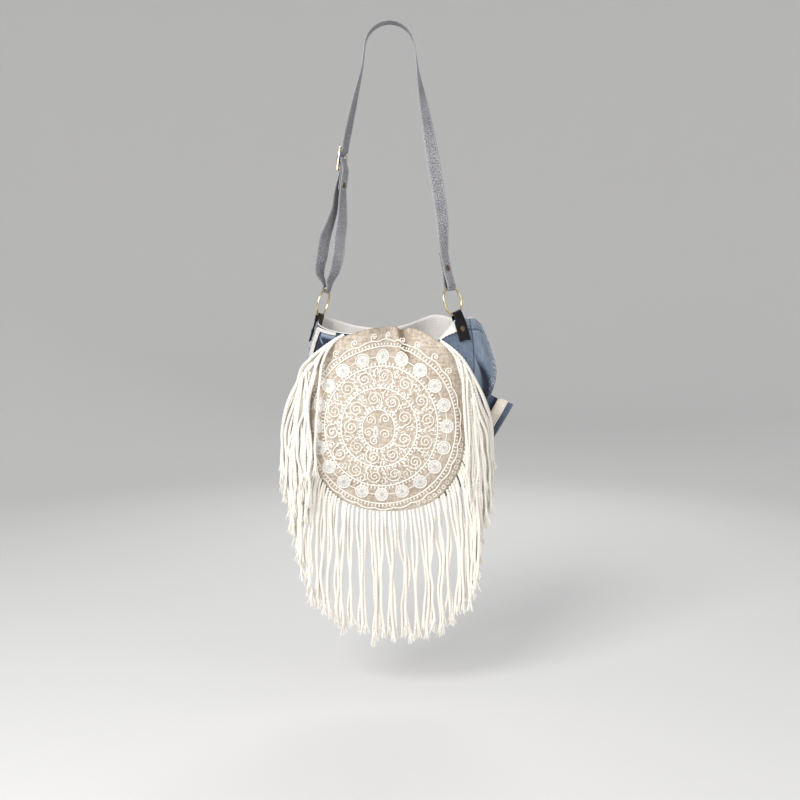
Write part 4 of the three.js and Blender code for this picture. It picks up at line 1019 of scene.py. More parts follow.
# Embroidery: rings, teeth, curls and satin dots in cotton thread on the panel's face
sewn = {"rings": columns("x y wide tall", (-15, -3, 24.5, 30), (-14, -1, 58, 60.5), (-11, 0, 87, 92),
                         (-8, 0, 113, 121)),
        "tooth": 3.6, "scallop": (-7, 0, 118.5, 128.5), "scallops": 26, "scallopTall": 3.0, "margin": 3.5,
        "reach": (-131, 148), "tone": (0.33, 0.05), "curlTurns": 1.9, "curlLean": 1.9,
        "curlRings": ((0, 9, 12.0, 0.35), (1, 14, 12.2, 0.1)), "seeds": ((0, 150), (1, 250)),
        "centreCurls": ((-27, 11, 8.6, 5.6, 1), (-4, 13, 8.6, 3.6, -1), (-30, -8, 7.4, 0.4, 1),
                        (-21, -21, 7.4, 1.6, 1), (-4, -11, 8.2, 3.0, -1)), "centreTurns": 1.5,
        "topCurls": np.radians(np.arange(38, 145, 12.5)), "topOut": 9, "topSize": 5.6, "topTurns": 1.4,
        "loops": np.arange(-84, 85, 4.2), "loopIn": 6.5, "loopSize": 2.6, "loopClear": 4.5,
        "leaves": ((-0.42, 0.78, 0.9), (-0.6, 0.72, -0.8), (0.16, 0.14, 0.5), (-0.2, 0.12, -0.6),
                   (0.34, 0.88, 0.4), (-0.05, 0.95, 1.5), (-0.5, 0.34, 0.2), (0.08, 0.03, 1.2),
                   (-0.34, 0.05, 0.3), (0.42, 0.2, 2.1), (-0.3, 0.93, -0.4), (0.2, 0.96, 0.9),
                   (0.46, 0.6, 1.6), (0.5, 0.78, 0.1), (-0.44, 0.2, 1.0)),
        "stitches": {
            "embroideryRings": {"lift": 0.5, "spacing": 2.0, "size": (4.0, 2.6, 1.9), "slant": 14, "seed": 3},
            "embroideryTeeth": {"lift": 0.5, "spacing": 5.6, "size": (5.2, 3.2, 1.9), "slant": 90, "seed": 4},
            "embroideryCurls": {"lift": 0.5, "spacing": 1.8, "size": (3.3, 2.2, 1.7), "slant": 14, "seed": 5},
            "embroideryLeaves": {"lift": 0.4, "spacing": 4.0, "size": (4.6, 2.3, 1.6), "seed": 7},
            "embroiderySeeds": {"lift": 0.3, "spacing": 4.0, "size": (3.0, 1.7, 1.1), "seed": 11},
            "embroideryFine": {"lift": 0.4, "spacing": 2.0, "size": (3.1, 1.8, 1.3), "slant": 12, "seed": 6},
            "dotOutlines": {"lift": 0.7, "spacing": 1.9, "size": (3.6, 2.5, 2.0), "slant": 12, "seed": 8}}}
dot = {"ring": (-10, 0, 100.5, 106), "count": 20, "size": 9.2, "vary": (0.92, 1.06), "tall": 1.26,
       "petals": 10, "petal": 0.32, "dimple": 0.5, "dimpleAt": 0.16, "dimpleWide": 0.12, "rim": 0.98,
       "sunk": 0.25, "outline": 0.6, "tone": 0.24, "reliefShading": 0.9, "rings": 10, "spokes": 40,
       "centre": (-19, -8, 4.6, 10.5, math.pi / 2)}
dot["angles"] = np.linspace(0, math.tau, dot["count"], endpoint=False)


def oval(x, y, wide, tall, steps):
    angle = np.linspace(0, math.tau, steps)
    return np.stack([x + wide * np.cos(angle), y + tall * np.sin(angle)], -1)


def onOval(x, y, wide, tall, angle):
    return np.array([x + wide * math.cos(angle), y + tall * math.sin(angle)])


def betweenRings(inner, angle, share):  # a place between a ring and the next one out
    near, far = zip(*((values[inner], values[inner + 1]) for values in sewn["rings"].values()))
    return lerp(onOval(*near, angle), onOval(*far, angle), share)


def curl(x, y, radius, start, hand, turns):
    t = np.linspace(0, 1, 44)
    angle = start + hand * math.tau * turns * t
    size = radius * (1 - 0.9 * t**0.85)
    return np.stack([x + size * np.cos(angle), y + size * np.sin(angle)], -1)


def bow(a, b, c):  # a line from a to c that bends towards b
    t = np.linspace(0, 1, 16)[:, None]
    return (1 - t) ** 2 * a + 2 * t * (1 - t) * b + t**2 * c


def shortStitch(spot, way):
    return spot + np.outer((0, 0.5, 1), (math.cos(way), math.sin(way)))


def curlRing(inner, count, radius, first, lines, leaves):
    step = math.tau / count
    for n in range(count):
        angle = first + n * step + dice.normal(0, 0.025)
        place = lambda steps, share: betweenRings(inner, angle + step * steps, share)
        centre = place(0, 0.52 + dice.normal(0, 0.02))
        size = radius * dice.uniform(0.94, 1.06)
        spiral = curl(*centre, size, angle - sewn["curlLean"], 1, sewn["curlTurns"])
        lines.append(spiral)
        lines.append(bow(place(-0.46, 0.12), place(-0.42, 0.5), spiral[0]))  # its stem
        lines.append(bow(place(-0.52, 0.9), place(-0.38, 0.74), place(-0.5, 0.55)))
        leaves.extend(shortStitch(place(steps, share), angle + lean) for steps, share, lean in sewn["leaves"])


def insidePanel(line):
    keep = np.abs(line[:, 0]) < panelWidthAt(np.clip(line[:, 1], *sewn["reach"])) - sewn["margin"]
    runs = np.split(np.arange(len(line)), np.where(np.diff(keep.astype(int)) != 0)[0] + 1)
    return [line[run] for run in runs if keep[run[0]] and len(run) > 2]


def sewLines(name, lines):
    stitch = sewn["stitches"][name]
    cut = [part for line in lines for part in insidePanel(line)]
    paths = [panelSpot(p[:, 0], p[:, 1], stitch["lift"]) for p in cut]
    outs = [panelNormal(p[:, 0], p[:, 1]) for p in cut]
    tones = [dice.normal(*sewn["tone"]) for p in cut]
    sewRows(name, paths, outs, tones, stitch, "embroideryCotton", "linen", "front_panel")


def satinDots():  # padded rosettes: petals of close stitches round a small dimple, with painted shade and highlight that follow the relief
    spots = [(*onOval(*dot["ring"], a), dot["size"] * dice.uniform(*dot["vary"]),
              dot["size"] * dice.uniform(*dot["vary"]), a) for a in dot["angles"]]
    spots.append(dot["centre"])
    points, quads, tones = [], [], []
    angle = np.arange(dot["spokes"]) * math.tau / dot["spokes"]
    share = np.linspace(1, 0.02, dot["rings"])[:, None]
    dimple = np.exp(-((share - dot["dimpleAt"]) / dot["dimpleWide"]) ** 2)
    dome = dot["tall"] * np.sqrt(np.clip(1 - share**2, 0, 1)) - dot["sunk"] * (share > dot["rim"])
    faces = np.array(ringQuads(dot["rings"], dot["spokes"]))
    for cx, cy, sizeX, sizeY, turned in spots:
        if abs(cx) > panelWidthAt(np.array(cy)) - dot["size"]:
            continue
        petal = np.cos((angle + turned) * dot["petals"]) * np.sin(math.pi * share) ** 0.7
        thread = dot["petal"] * petal - dot["dimple"] * dimple
        grid = panelSpot(cx + sizeX * share * np.cos(angle), cy + sizeY * share * np.sin(angle),
                         dome + thread * (share < dot["rim"]))
        quads.append(faces + len(points) * dot["rings"] * dot["spokes"])
        points.append(grid.reshape(-1, 3))
        # painted shade in the dimple and between the petals, painted highlight on their crests
        tones.append(dot["tone"] + dot["reliefShading"] * thread.ravel())
    mesh = quadMesh("satinDots", np.concatenate(points), np.concatenate(quads), None,
                    {"tone": np.concatenate(tones)})
    addPiece("satinDots", mesh, "satinCotton", "linen", "front_panel")


def makeEmbroidery():
    drawn = {name: [] for name in sewn["stitches"]}
    rings, teeth, curls, leaves, seeds, fine, outlines = drawn.values()
    for x, y, wide, tall in zip(*sewn["rings"].values()):
        rings.append(oval(x, y, wide, tall, 320))
        teeth.append(oval(x, y, wide + sewn["tooth"], tall + sewn["tooth"], 320))
    x, y, wide, tall = sewn["scallop"]
    angle = np.linspace(0, math.tau, 520)
    swell = sewn["scallopTall"] * np.abs(np.sin(angle * sewn["scallops"] / 2))
    rings.append(np.stack([x + (wide + swell) * np.cos(angle), y + (tall + swell) * np.sin(angle)], -1))
    for inner, count, radius, first in sewn["curlRings"]:
        curlRing(inner, count, radius, first, curls, leaves)
    for inner, count in sewn["seeds"]:  # small stitches strewn between the curls
        for n in range(count):
            a, share, way = dice.uniform(0, math.tau), dice.uniform(0.1, 0.92), dice.uniform(0, math.pi)
            seeds.append(shortStitch(betweenRings(inner, a, share), way))
    curls.extend(curl(*row, sewn["centreTurns"]) for row in sewn["centreCurls"])
    for a in sewn["topCurls"]:  # small curls outside the scallops, over the top
        spot = onOval(x, y, wide + sewn["topOut"], tall + sewn["topOut"], a)
        curls.append(curl(*spot, sewn["topSize"], a + 2.5, -1, sewn["topTurns"]))
    for a in sewn["loops"]:  # small loops where the linen is wide below the scallops
        cx, cy = edgeAt(a, -sewn["loopIn"])
        if np.hypot((cx - x) / (wide + sewn["loopClear"]), (cy - y) / (tall + sewn["loopClear"])) > 1:
            fine.append(oval(cx, cy, sewn["loopSize"], sewn["loopSize"], 14))
    fine.append(oval(*dot["ring"], 300))
    size = dot["size"] + dot["outline"]
    outlines.extend(oval(*onOval(*dot["ring"], a), size, size, 30) for a in dot["angles"])
    for name, lines in drawn.items():
        sewLines(name, lines)
    satinDots()


makeEmbroidery()
print("embroidery made")


# Rings, tabs, strap and slider: each stands in a small frame of its own, across, up and out
def frameAt(origin, turn, lean):
    up = unit(np.array([lean[0], lean[1], 1.0]))
    flat = np.array([math.cos(math.radians(turn)), math.sin(math.radians(turn)), 0])
    across = unit(flat - up * flat.dot(up))
    return {"origin": np.array(origin, float), "across": across, "up": up, "out": np.cross(across, up)}


def inFrame(spot, across, up, out):
    steps = [np.asarray(v, float)[..., None] for v in (across, up, out)]
    return spot["origin"] + spot["across"] * steps[0] + spot["up"] * steps[1] + spot["out"] * steps[2]


def outward(mesh):  # turns a closed mesh right side out
    work = bmesh.new()
    work.from_mesh(mesh)
    bmesh.ops.recalc_face_normals(work, faces=work.faces)
    work.to_mesh(mesh)
    work.free()
    return mesh


metal = {"ring": 23, "wire": 1.7, "aboveRim": 30, "roundRing": 84, "roundWire": 18}
sides = {"left": {"turn": 180, "ringTurn": 75, "lean": (0.26, 0), "slide": 0, "slip": 0, "rivetDown": 14},
         "right": {"turn": 329, "ringTurn": 51, "lean": (-0.19, 0.06), "slide": 4, "slip": 12,
                   "rivetDown": 13}}


def ringFrame(side):
    middle = wallPoint(np.array(side["turn"]), np.array(float(pouch["rim"])), np.array(-pouch["wall"] / 2))
    spot = frameAt(middle, side["ringTurn"], side["lean"])
    spot["origin"] = spot["origin"] + spot["up"] * metal["aboveRim"]
    return spot


ringFrames = {name: ringFrame(side) for name, side in sides.items()}


def makeRing(name, spot, node):
    major, minor = metal["roundRing"], metal["roundWire"]
    a, b = np.meshgrid(np.arange(major) * math.tau / major, np.arange(minor) * math.tau / minor,
                       indexing="ij")
    size = metal["ring"] + metal["wire"] * np.cos(b)
    grid = inFrame(spot, size * np.cos(a), size * np.sin(a), metal["wire"] * np.sin(b))
    mesh = quadMesh(name, grid.reshape(-1, 3), ringQuads(major, minor, True))
    addPiece(name, outward(mesh), "paleGold", "gold", node)


def chordAt(width):  # how far from a ring's centre a flat band of that width bears on it
    return math.sqrt(metal["ring"] ** 2 - (width / 2) ** 2)


tab = {"width": 20, "thick": 2.0, "leg": 2.3, "foldUp": 3.4, "outside": 28, "inside": 24, "legStart": 0.12,
       "outsideRows": 18, "insideRows": 14, "columns": 15, "edge": 0.14, "edgeWear": 0.8,
       "wearFrom": (0.9, 1)}


def makeTab(name, side, spot, node):
    rim, turn = float(pouch["rim"]), float(side["turn"])
    slip = math.radians(side["slip"])  # the tab has slipped round the ring
    spot = {**spot, "across": spot["across"] * math.cos(slip) + spot["up"] * math.sin(slip),
            "up": spot["up"] * math.cos(slip) - spot["across"] * math.sin(slip)}
    facing = np.sign(spot["out"].dot(faceNormal(np.array(turn), np.array(rim))))
    share = np.sin(np.linspace(-1, 1, tab["columns"]) * math.pi / 2) / 2
    column = share * tab["width"]

    def onLeg(down, out):
        level = np.full(column.shape, rim - down)
        arc = arcAt(np.full(column.shape, turn), level) + column + side["slide"]
        return onWall(arc, level, np.full(column.shape, out))

    rows = [onLeg(tab["outside"] * s, tab["leg"])
            for s in np.linspace(1, tab["legStart"], tab["outsideRows"])]
    rows += [inFrame(spot, column * facing, tab["foldUp"] * math.sin(a) - chordAt(tab["width"]),
                     np.full(column.shape, facing * tab["foldUp"] * math.cos(a)))
             for a in np.radians(np.arange(0, 181, 15))]
    rows += [onLeg(tab["inside"] * s, -pouch["wall"] - tab["leg"])
             for s in np.linspace(tab["legStart"], 1, tab["insideRows"])]
    middle = np.array(rows)
    for n in range(3):  # eases the bends where the legs meet the fold
        middle[1:-1] = middle[1:-1] * 0.5 + (middle[:-2] + middle[2:]) * 0.25
    bevel = np.clip((np.abs(share) * 2 - (1 - tab["edge"])) / tab["edge"], 0, 0.95)
    taper = np.sqrt(np.clip(1 - bevel**2, 0.1, 1))
    run = alongRun(middle[:, tab["columns"] // 2])
    flat = np.stack(np.meshgrid(column, -run), -1)
    rubbed = np.broadcast_to(smooth(*tab["wearFrom"], np.abs(share) * 2) * tab["edgeWear"], middle.shape[:2])
    out = gridNormals(middle) * (tab["thick"] / 2 * taper)[None, :, None]
    mesh = outward(clothMesh(name, middle + out, middle - out, flat, attributes={"wear": rubbed}))
    made = addPiece(name, mesh, "blackLeather", "leather", node)


for name in sides:
    makeRing("ring" + name.title(), ringFrames[name], "ring_" + name)
for name, side in sides.items():
    makeTab("tab" + name.title(), side, ringFrames[name], "tab_" + name)

# the strap's rows are x, y, z and the turn of its width, or height, face and layer at the slider
strap = {"width": 22, "thick": 1.8, "fold": 3.3, "foldEnd": 6, "layer": 2.6, "stand": 2.3, "hang": 38.9,
         "hangLevel": -38, "edge": 0.16, "edgeWear": 0.5, "under": 0.1, "columns": 17, "step": 2.4,
         "endUp": (56, 37, 25), "endApart": 1.3,
         "rightRun": ((81, -22, -300, 26), (74, -17, -250, 18), (65, -12, -196, 20), (54, -7, -132, 42),
                      (43, -2, -68, 80)),
         "leftRun": ((-43, 0, -68, 88), (-55, 0, -120, 72), (-65, 0, -166, 64)),
         "through": ((21, 1, 0), (14.5, 1, 0), (4, -1, 1), (-4, -1, 1), (-14.5, 1, 0), (-21, 1, 0)),
         "loopDown": ((-83, 0, -257, 72), (-87, 0, -284, 68), (-94, 0, -306, 56), (-102, 0, -328, 42),
                      (-107, 0, -354, 38), (-111, 0, -384, 55)),
         "loopUp": ((-96, 0, -399, 62), (-88, 0, -382, 48), (-82, 0, -358, 34), (-79, 0, -330, 36),
                    (-75, 0, -300, 46)),
         "roundBar": ((-47, 1, 2), (-39, 1, 2), (-21, 1, 2), (-14.5, 1, 2), (-3, 1, 0.1), (0.5, 1, 0),
                      (2.4, 0.75, 0), (3.1, 0, 0), (2.4, -0.75, 0), (0.5, -1, 0), (-4, -1, 0), (-14.5, 1, 1),
                      (-21, 1, 1), (-39, 1, 1), (-47, 1, 1)),
         "stitchIn": 2.6, "tone": 0.25, "spacing": 4.2, "size": (3.2, 0.8, 0.6), "seed": 8}
sliderSpot = frameAt((-74, 0, -208), 66, (0.13, 0))


def strapStations():  # the strap's places from end to end, and the direction of its width at each
    places, sideways = [], []
    chord = chordAt(strap["width"])

    def station(point, across):
        places.append(np.asarray(point, float))
        sideways.append(unit(np.asarray(across, float)))

    def onRing(spot, up, out):
        station(inFrame(spot, 0, chord + up, out), spot["across"])

    def foldRound(spot):
        onRing(spot, strap["foldEnd"], -strap["fold"])
        for a in np.radians(np.arange(0, 181, 20)):
            onRing(spot, -strap["fold"] * math.sin(a), -strap["fold"] * math.cos(a))
        onRing(spot, strap["foldEnd"], strap["fold"])

    def hangFree(rows):
        for x, y, z, turn in rows:
            station((x, y, z), (math.cos(math.radians(turn)), math.sin(math.radians(turn)), 0))

    def onSlider(rows):
        for up, face, layer in rows:
            out = face * (strap["stand"] + layer * strap["layer"])
            station(inFrame(sliderSpot, 0, up, out), sliderSpot["across"])

    for up in strap["endUp"]:
        onRing(ringFrames["right"], up, -strap["endApart"])
    foldRound(ringFrames["right"])
    for up in strap["endUp"][::-1]:
        onRing(ringFrames["right"], up, strap["endApart"])
    hangFree(strap["rightRun"])
    for a in np.radians(np.linspace(10, 170, 17)):  # over the top
        station((strap["hang"] * math.cos(a), 0, strap["hangLevel"] + strap["hang"] * math.sin(a)), (0, 1, 0))
    hangFree(strap["leftRun"])
    onSlider(strap["through"])
    hangFree(strap["loopDown"])
    foldRound(ringFrames["left"])
    hangFree(strap["loopUp"])
    onSlider(strap["roundBar"])
    return np.array(places), np.array(sideways)


def makeStrap():
    places, sideways = strapStations()
    for n in range(1, len(sideways)):  # keeps one edge on one side all the way
        if sideways[n].dot(sideways[n - 1]) < 0:
            sideways[n] = -sideways[n]
    far = alongRun(places)
    run = np.linspace(0, far[-1], round(far[-1] / strap["step"]))
    table = {"far": far, **dict(zip("xyz", places.T))}
    centres = np.stack([curveThrough(table, "far", axis, run) for axis in "xyz"], -1)
    across = unit(np.stack([np.interp(run, far, column) for column in sideways.T], -1))
    along = unit(np.gradient(centres, axis=0))
    across = unit(across - along * np.sum(across * along, axis=1, keepdims=True))
    outs = unit(np.cross(along, across))
    share = np.sin(np.linspace(-1, 1, strap["columns"]) * math.pi / 2) / 2
    column = share * strap["width"]
    middle = centres[:, None] + across[:, None] * column[None, :, None]
    bevel = np.clip((np.abs(share) * 2 - (1 - strap["edge"])) / strap["edge"], 0, 0.97)
    taper = np.sqrt(np.clip(1 - bevel**2, 0.05, 1))
    flat = np.stack(np.meshgrid(column, -run), -1)
    rubbed = smooth(1 - strap["edge"] * 1.6, 1, np.abs(share) * 2) * strap["edgeWear"]
    thick = outs[:, None] * (strap["thick"] / 2 * taper)[None, :, None]
    # one face gets a little painted shade as the strap's underside; the edges are rubbed pale
    looks = {"wear": np.broadcast_to(rubbed, middle.shape[:2]),
             "under": (np.full(middle.shape[:2], strap["under"]), np.zeros(middle.shape[:2]))}
    mesh = outward(clothMesh("strapRibbon", middle + thick, middle - thick, flat, attributes=looks))
    made = addPiece("strapRibbon", mesh, "melangeDenim", "strap_denim", "strap")
    inset = strap["width"] / 2 - strap["stitchIn"]
    rows = [(centres + across * edge * inset + outs * face * strap["thick"] / 2, outs * face)
            for edge in (-1, 1) for face in (-1, 1)]
    paths, faces = zip(*rows)
    sewRows("strapStitches", list(paths), list(faces), [strap["tone"]] * len(rows), strap, "seamThread",
            "strap_denim", "strap")


makeStrap()
slider = {"bevel": 0.55, "segments": 3, "profile": 0.6, "flatter": 0.02, "sharper": 0.5}


def makeSlider():  # a copy of the solid, its edges rounded
    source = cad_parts["slider"]
    work = bmesh.new()
    work.from_mesh(source.data)
    work.transform(source.matrix_world)
    bmesh.ops.remove_doubles(work, verts=work.verts, dist=1e-6)
    bmesh.ops.dissolve_limit(work, angle_limit=slider["flatter"], verts=work.verts, edges=work.edges)
    sharp = [e for e in work.edges if len(e.link_faces) == 2 and e.calc_face_angle(0) > slider["sharper"]]
    bmesh.ops.bevel(work, geom=sharp, offset=slider["bevel"] * mm, segments=slider["segments"],
                    profile=slider["profile"], affect="EDGES")
    mesh = bpy.data.meshes.new("slider")
    work.to_mesh(mesh)
    work.free()
    mesh.materials.clear()
    addPiece("slider", mesh, "paleGold", "gold", "slider")


makeSlider()

# radius, and height over the leather or cloth, of the cap's crown, its rolled lip and the top of the stem
rivet = {"outline": ((0.02, 1.4), (0.9, 1.37), (1.8, 1.25), (2.7, 1.0), (3.4, 0.66), (3.85, 0.42),
                     (4.2, 0.45), (4.42, 0.3), (4.5, 0.12), (4.4, 0.0), (4.0, -0.05), (1.6, -0.05)),
         "round": 36, "stand": 0.4, "tabHold": 9.8, "strapHold": 4.4, "strapRightUp": 31, "strapLeftUp": -39}


def makeRivet(name, centre, axis, hold, node):  # the same cap on both faces
    half = hold / 2 + rivet["stand"]
    outline = [(r, half + h) for r, h in rivet["outline"]]
    outline += [(r, -h) for r, h in outline[::-1]]
    count = rivet["round"]
    axis = unit(np.asarray(axis, float))
    side = unit(np.cross(axis, (0.2, 0.1, 1.0)))
    a = np.arange(count)[:, None] * math.tau / count
    spoke = side * np.cos(a) + np.cross(axis, side) * np.sin(a)
    grid = np.array([centre + axis * h + spoke * r for r, h in outline])
    last = (len(outline) - 1) * count
    caps = [list(range(count)), list(range(last, last + count))]
    mesh = quadMesh(name, grid.reshape(-1, 3), ringQuads(len(outline), count), extra=caps)
    addPiece(name, outward(mesh), "antiqueBrass", "brass", node)


for name, side in sides.items():
    level = np.array(pouch["rim"] - float(side["rivetDown"]))
    turn = turnAt(arcAt(np.array(float(side["turn"])), level) + side["slide"], level)
    middle = wallPoint(turn, level, np.array(-pouch["wall"] / 2))
    makeRivet("rivetTab" + name.title(), middle, faceNormal(turn, level), rivet["tabHold"],
              "rivet_tab_" + name)
middle = inFrame(ringFrames["right"], 0, chordAt(strap["width"]) + rivet["strapRightUp"], 0)
makeRivet("rivetStrapRight", middle, ringFrames["right"]["out"], rivet["strapHold"], "rivet_strap_right")
middle = inFrame(sliderSpot, 0, rivet["strapLeftUp"], strap["stand"] + 1.5 * strap["layer"])
makeRivet("rivetStrapLeft", middle, sliderSpot["out"], rivet["strapHold"], "rivet_strap_left")
print("hardware and strap made")


# Side cuff: a flattened denim sleeve end that sticks out at the lower right, with a cream band round it
cuff = {"end": (180, 36, -632), "axis": (0.86, 0, -0.51), "halfLong": 38, "halfDeep": 7.5, "power": 0.8,
        "flare": 1.12, "flareLong": 27, "wall": 2.2, "reach": 62, "clear": 0.7, "rows": 34, "round": 80,
        "flatRadius": 22, "pucker": 0.25, "puckers": 6, "puckerTwist": 0.12, "puckerFrom": (3, 14),
        "hem": 0.5, "hemAt": 4.5, "hemWide": 4.2, "tone": 0.62, "stripe": 0.5, "darkFrom": (20, 26),
        "paleFrom": (31.5, 34.5), "edgeWear": 0.3, "edgeWide": 1.2}
band = {"from": 10, "to": 27, "gap": 0.6, "ease": 0.2, "thick": 1.2, "rows": 14, "edge": 0.4, "edgeWide": 1.3,
        "stitchIn": 2.2, "stitchOut": 0.25, "under": -4, "tone": 0.0, "spacing": 3.6, "size": (2.8, 0.9, 0.7),
        "seed": 9}
cuffRing = np.arange(cuff["round"]) * math.tau / cuff["round"]


def cuffLoop(back, grow, angle):
    axis = unit(np.array(cuff["axis"]))
    deep = np.array([0, 1.0, 0])
    long = np.cross(deep, axis)
    size = lerp(cuff["flare"], 1, np.clip(back / cuff["flareLong"], 0, 1))
    squared = lambda v: np.sign(v) * np.abs(v) ** cuff["power"]
    a = (squared(np.cos(angle)) * (cuff["halfLong"] * size + grow))[..., None]
    b = (squared(np.sin(angle)) * (cuff["halfDeep"] * size + grow))[..., None]
    return np.array(cuff["end"]) - axis * np.asarray(back)[..., None] + long * a + deep * b


def cuffReach():  # how far back each line of the sleeve runs before it meets the solid wall
    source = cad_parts["denim_body"]
    corners = [source.matrix_world @ v.co for v in source.data.vertices]
    solid = BVHTree.FromPolygons(corners, [list(p.vertices) for p in source.data.polygons])
    inwards = Vector(-unit(np.array(cuff["axis"])))
    rim = cuffLoop(np.zeros(cuff["round"]), 0, cuffRing)
    far = [solid.ray_cast(Vector(point * mm), inwards)[3] for point in rim]
    return np.array([min(cuff["reach"], d / mm - cuff["clear"]) if d else cuff["reach"] for d in far])


def cuffPucker(back, ring):
    return cuff["pucker"] * np.sin(ring * cuff["puckers"] + back * cuff["puckerTwist"])


def cuffFlat(back):  # cloth coordinates, with the first column once more where the loop closes
    across = np.append(cuffRing, math.tau) * cuff["flatRadius"]
    down = -np.append(back, back[:, :1], axis=1)
    return np.stack([np.broadcast_to(across, down.shape), down], -1)


def makeCuff():
    back = np.linspace(0, 1, cuff["rows"])[:, None] * cuffReach()
    ring = np.broadcast_to(cuffRing, back.shape)
    pucker = cuffPucker(back, ring) * smooth(*cuff["puckerFrom"], back)
    hem = cuff["hem"] * np.exp(-((back - cuff["hemAt"]) / cuff["hemWide"]) ** 4)
    stripe = smooth(*cuff["paleFrom"], back) - smooth(*cuff["darkFrom"], back)
    tone = cuff["tone"] + cuff["stripe"] * stripe + cuff["edgeWear"] * np.exp(-(back / cuff["edgeWide"]) ** 2)
    outer, inner = (cuffLoop(back, pucker + grow, ring) for grow in (hem, -cuff["wall"]))
    mesh = outward(clothMesh("sideCuff", outer, inner, cuffFlat(back), True, {"wear": tone}))
    made = addPiece("sideCuff", mesh, "indigoDenim", "dark_denim", "side_cuff")


def makeBand():
    back = np.repeat(np.linspace(band["from"], band["to"], band["rows"])[:, None], cuff["round"], axis=1)
    ring = np.broadcast_to(cuffRing, back.shape)
    inside = np.minimum(back - band["from"], band["to"] - back)
    edge = band["edge"] * np.exp(-(inside / band["edgeWide"]) ** 2)
    low = band["gap"] + band["ease"] + cuffPucker(back, ring)
    outer, inner = (cuffLoop(back, low + grow, ring) for grow in (band["thick"] - edge, 0))
    mesh = outward(clothMesh("cuffBand", outer, inner, cuffFlat(back), True))
    made = addPiece("cuffBand", mesh, "creamCotton", "cream_band", "cuff_band")
    closed = np.append(cuffRing, cuffRing[0])
    lines, outs = [], []
    for place in (band["from"] + band["stitchIn"], band["to"] - band["stitchIn"]):
        back = np.full(len(closed), place)
        lines.append(cuffLoop(back, band["gap"] + band["thick"] + band["stitchOut"], closed))
        outs.append(unit(lines[-1] - cuffLoop(back, band["under"], closed)))
    sewRows("cuffStitches", lines, outs, [band["tone"]] * 2, band, "seamThread", "cream_band", "cuff_band")


makeCuff()
makeBand()

# Corner tape: white cotton down the left front seam and a short way along the rim
tape = {"from": (206, 3), "to": (197, 104), "width": 10, "out": 1.7, "lift": 0.5, "ruffle": 0.3, "thick": 1.0,
        "rows": 60, "columns": 11, "rimAlong": (-2, 34), "rimDown": (1, 6.5), "rimOut": 3.4, "rimRows": 9,
        "rimColumns": 30}
# Rim binding: the lining turned over the rim beside the right tab
binding = {"turns": (311, 326), "deep": (5, 13), "deepFrom": (313, 326), "wave": 0.5, "out": 1.9,
           "ruffle": 0.3, "thick": 0.9, "rows": 13, "columns": 26}


def layCloth(name, arc, level, out, across, thick, look, slot, node):
    flat = np.stack([np.broadcast_to(across, level.shape), level], -1)
    mesh = outward(thickCloth(name, onWall(arc, level, out), np.full(level.shape, thick), flat))
    return addPiece(name, mesh, look, slot, node)


def makeTape():
    share = np.linspace(0, 1, tape["rows"])[:, None]
    turn, down = (lerp(start, stop, share) for start, stop in zip(tape["from"], tape["to"]))
    column = np.linspace(-0.5, 0.5, tape["columns"])[None] * tape["width"]
    level = np.broadcast_to(pouch["rim"] - down, (tape["rows"], tape["columns"]))
    arc = arcAt(np.broadcast_to(turn, level.shape), level) + column
    ruffle = tape["ruffle"] * np.sin(down * 0.5 + column * 0.4)
    out = tape["out"] + clothLift(turnAt(arc, level), level) + tape["lift"] + ruffle
    made = layCloth("cornerTape", arc, level, out, column, tape["thick"], "tapeCotton", "tape", "corner_tape")
    along = np.linspace(*tape["rimAlong"], tape["rimColumns"])[None]
    down = np.linspace(*tape["rimDown"], tape["rimRows"])[:, None]
    level = np.broadcast_to(pouch["rim"] - down, (tape["rimRows"], tape["rimColumns"]))
    arc = arcAt(np.full(level.shape, float(tape["from"][0])), level) + along
    out = np.full(level.shape, tape["rimOut"])
    layCloth("rimTape", arc, level, out, along, tape["thick"], "tapeCotton", "tape", "corner_tape")


def makeBinding():
    turn = np.linspace(*binding["turns"], binding["columns"])[None]
    deep = lerp(*binding["deep"], smooth(*binding["deepFrom"], turn)) + binding["wave"] * np.sin(turn * 2.3)
    level = pouch["rim"] - np.linspace(0, 1, binding["rows"])[:, None] * deep
    arc = arcAt(np.broadcast_to(turn, level.shape), level)
    out = clothLift(turnAt(arc, level), level) + binding["out"] + binding["ruffle"] * np.sin(arc * 0.5)
    layCloth("rimBinding", arc, level, out, arc, binding["thick"], "liningCotton", "lining", "lining")


makeTape()
makeBinding()
print("cuff and tape made")


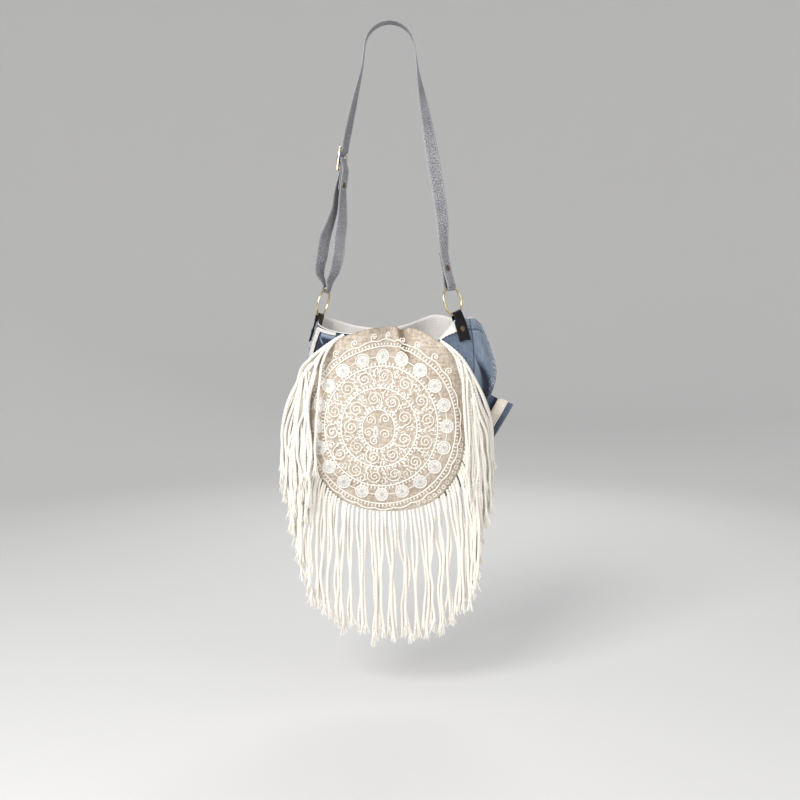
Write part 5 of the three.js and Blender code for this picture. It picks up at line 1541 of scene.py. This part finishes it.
# Floor and light: a plain pale floor and backdrop, a large soft key from the upper left
stage = {"floor": -1.055, "radius": 2.0, "bend": 1.3, "top": 1.6, "round": 96, "floorTone": "#d2d1d0",
         "sky": "#e6e8ea", "skyPower": 0.66, "aim": (0.016, 0, -0.585),
         "lamps": (("key", (-1.1, -1.7, 0.6), 57, 1.2), ("fill", (1.5, -1.3, -0.3), 11, 1.4),
                   ("back", (0.4, 1.6, 0.5), 14, 1.2))}


def makeFloor():
    bend = np.linspace(0, math.pi / 2, 25)
    wide = stage["radius"] + stage["bend"]
    out = np.concatenate([[0.01, 1.0], stage["radius"] + stage["bend"] * np.sin(bend), [wide]])
    high = np.concatenate([[0, 0], stage["bend"] * (1 - np.cos(bend)), [stage["top"] - stage["floor"]]])
    angle = np.arange(stage["round"]) * math.tau / stage["round"]
    points = np.stack([np.outer(out, np.cos(angle)), np.outer(out, np.sin(angle)),
                       np.outer(high + stage["floor"], np.ones(stage["round"]))], -1)
    faces = [quad[::-1] for quad in ringQuads(len(out), stage["round"])]
    mesh = bpy.data.meshes.new("floor")
    mesh.from_pydata(points.reshape(-1, 3).tolist(), [], faces + [list(range(stage["round"]))])
    smoothShaded(mesh)
    made, add = newMaterial("paintedFloor", Roughness=0.9, Base_Color=colour(stage["floorTone"]))
    mesh.materials.append(made)
    floor = bpy.data.objects.new("floor", mesh)
    scene.collection.objects.link(floor)


def makeLight():
    world = bpy.data.worlds.new("studio")
    world.use_nodes = True
    world.node_tree.nodes["Background"].inputs["Color"].default_value = colour(stage["sky"])
    world.node_tree.nodes["Background"].inputs["Strength"].default_value = stage["skyPower"]
    scene.world = world
    for name, place, power, size in stage["lamps"]:
        lamp = bpy.data.lights.new(name, "AREA")
        lamp.energy = power
        lamp.size = size
        made = bpy.data.objects.new(name, lamp)
        made.location = place
        aim = Vector(stage["aim"]) - Vector(place)
        made.rotation_euler = aim.to_track_quat("-Z", "Y").to_euler()
        scene.collection.objects.link(made)


makeFloor()
makeLight()
scene.view_settings.view_transform = "Standard"
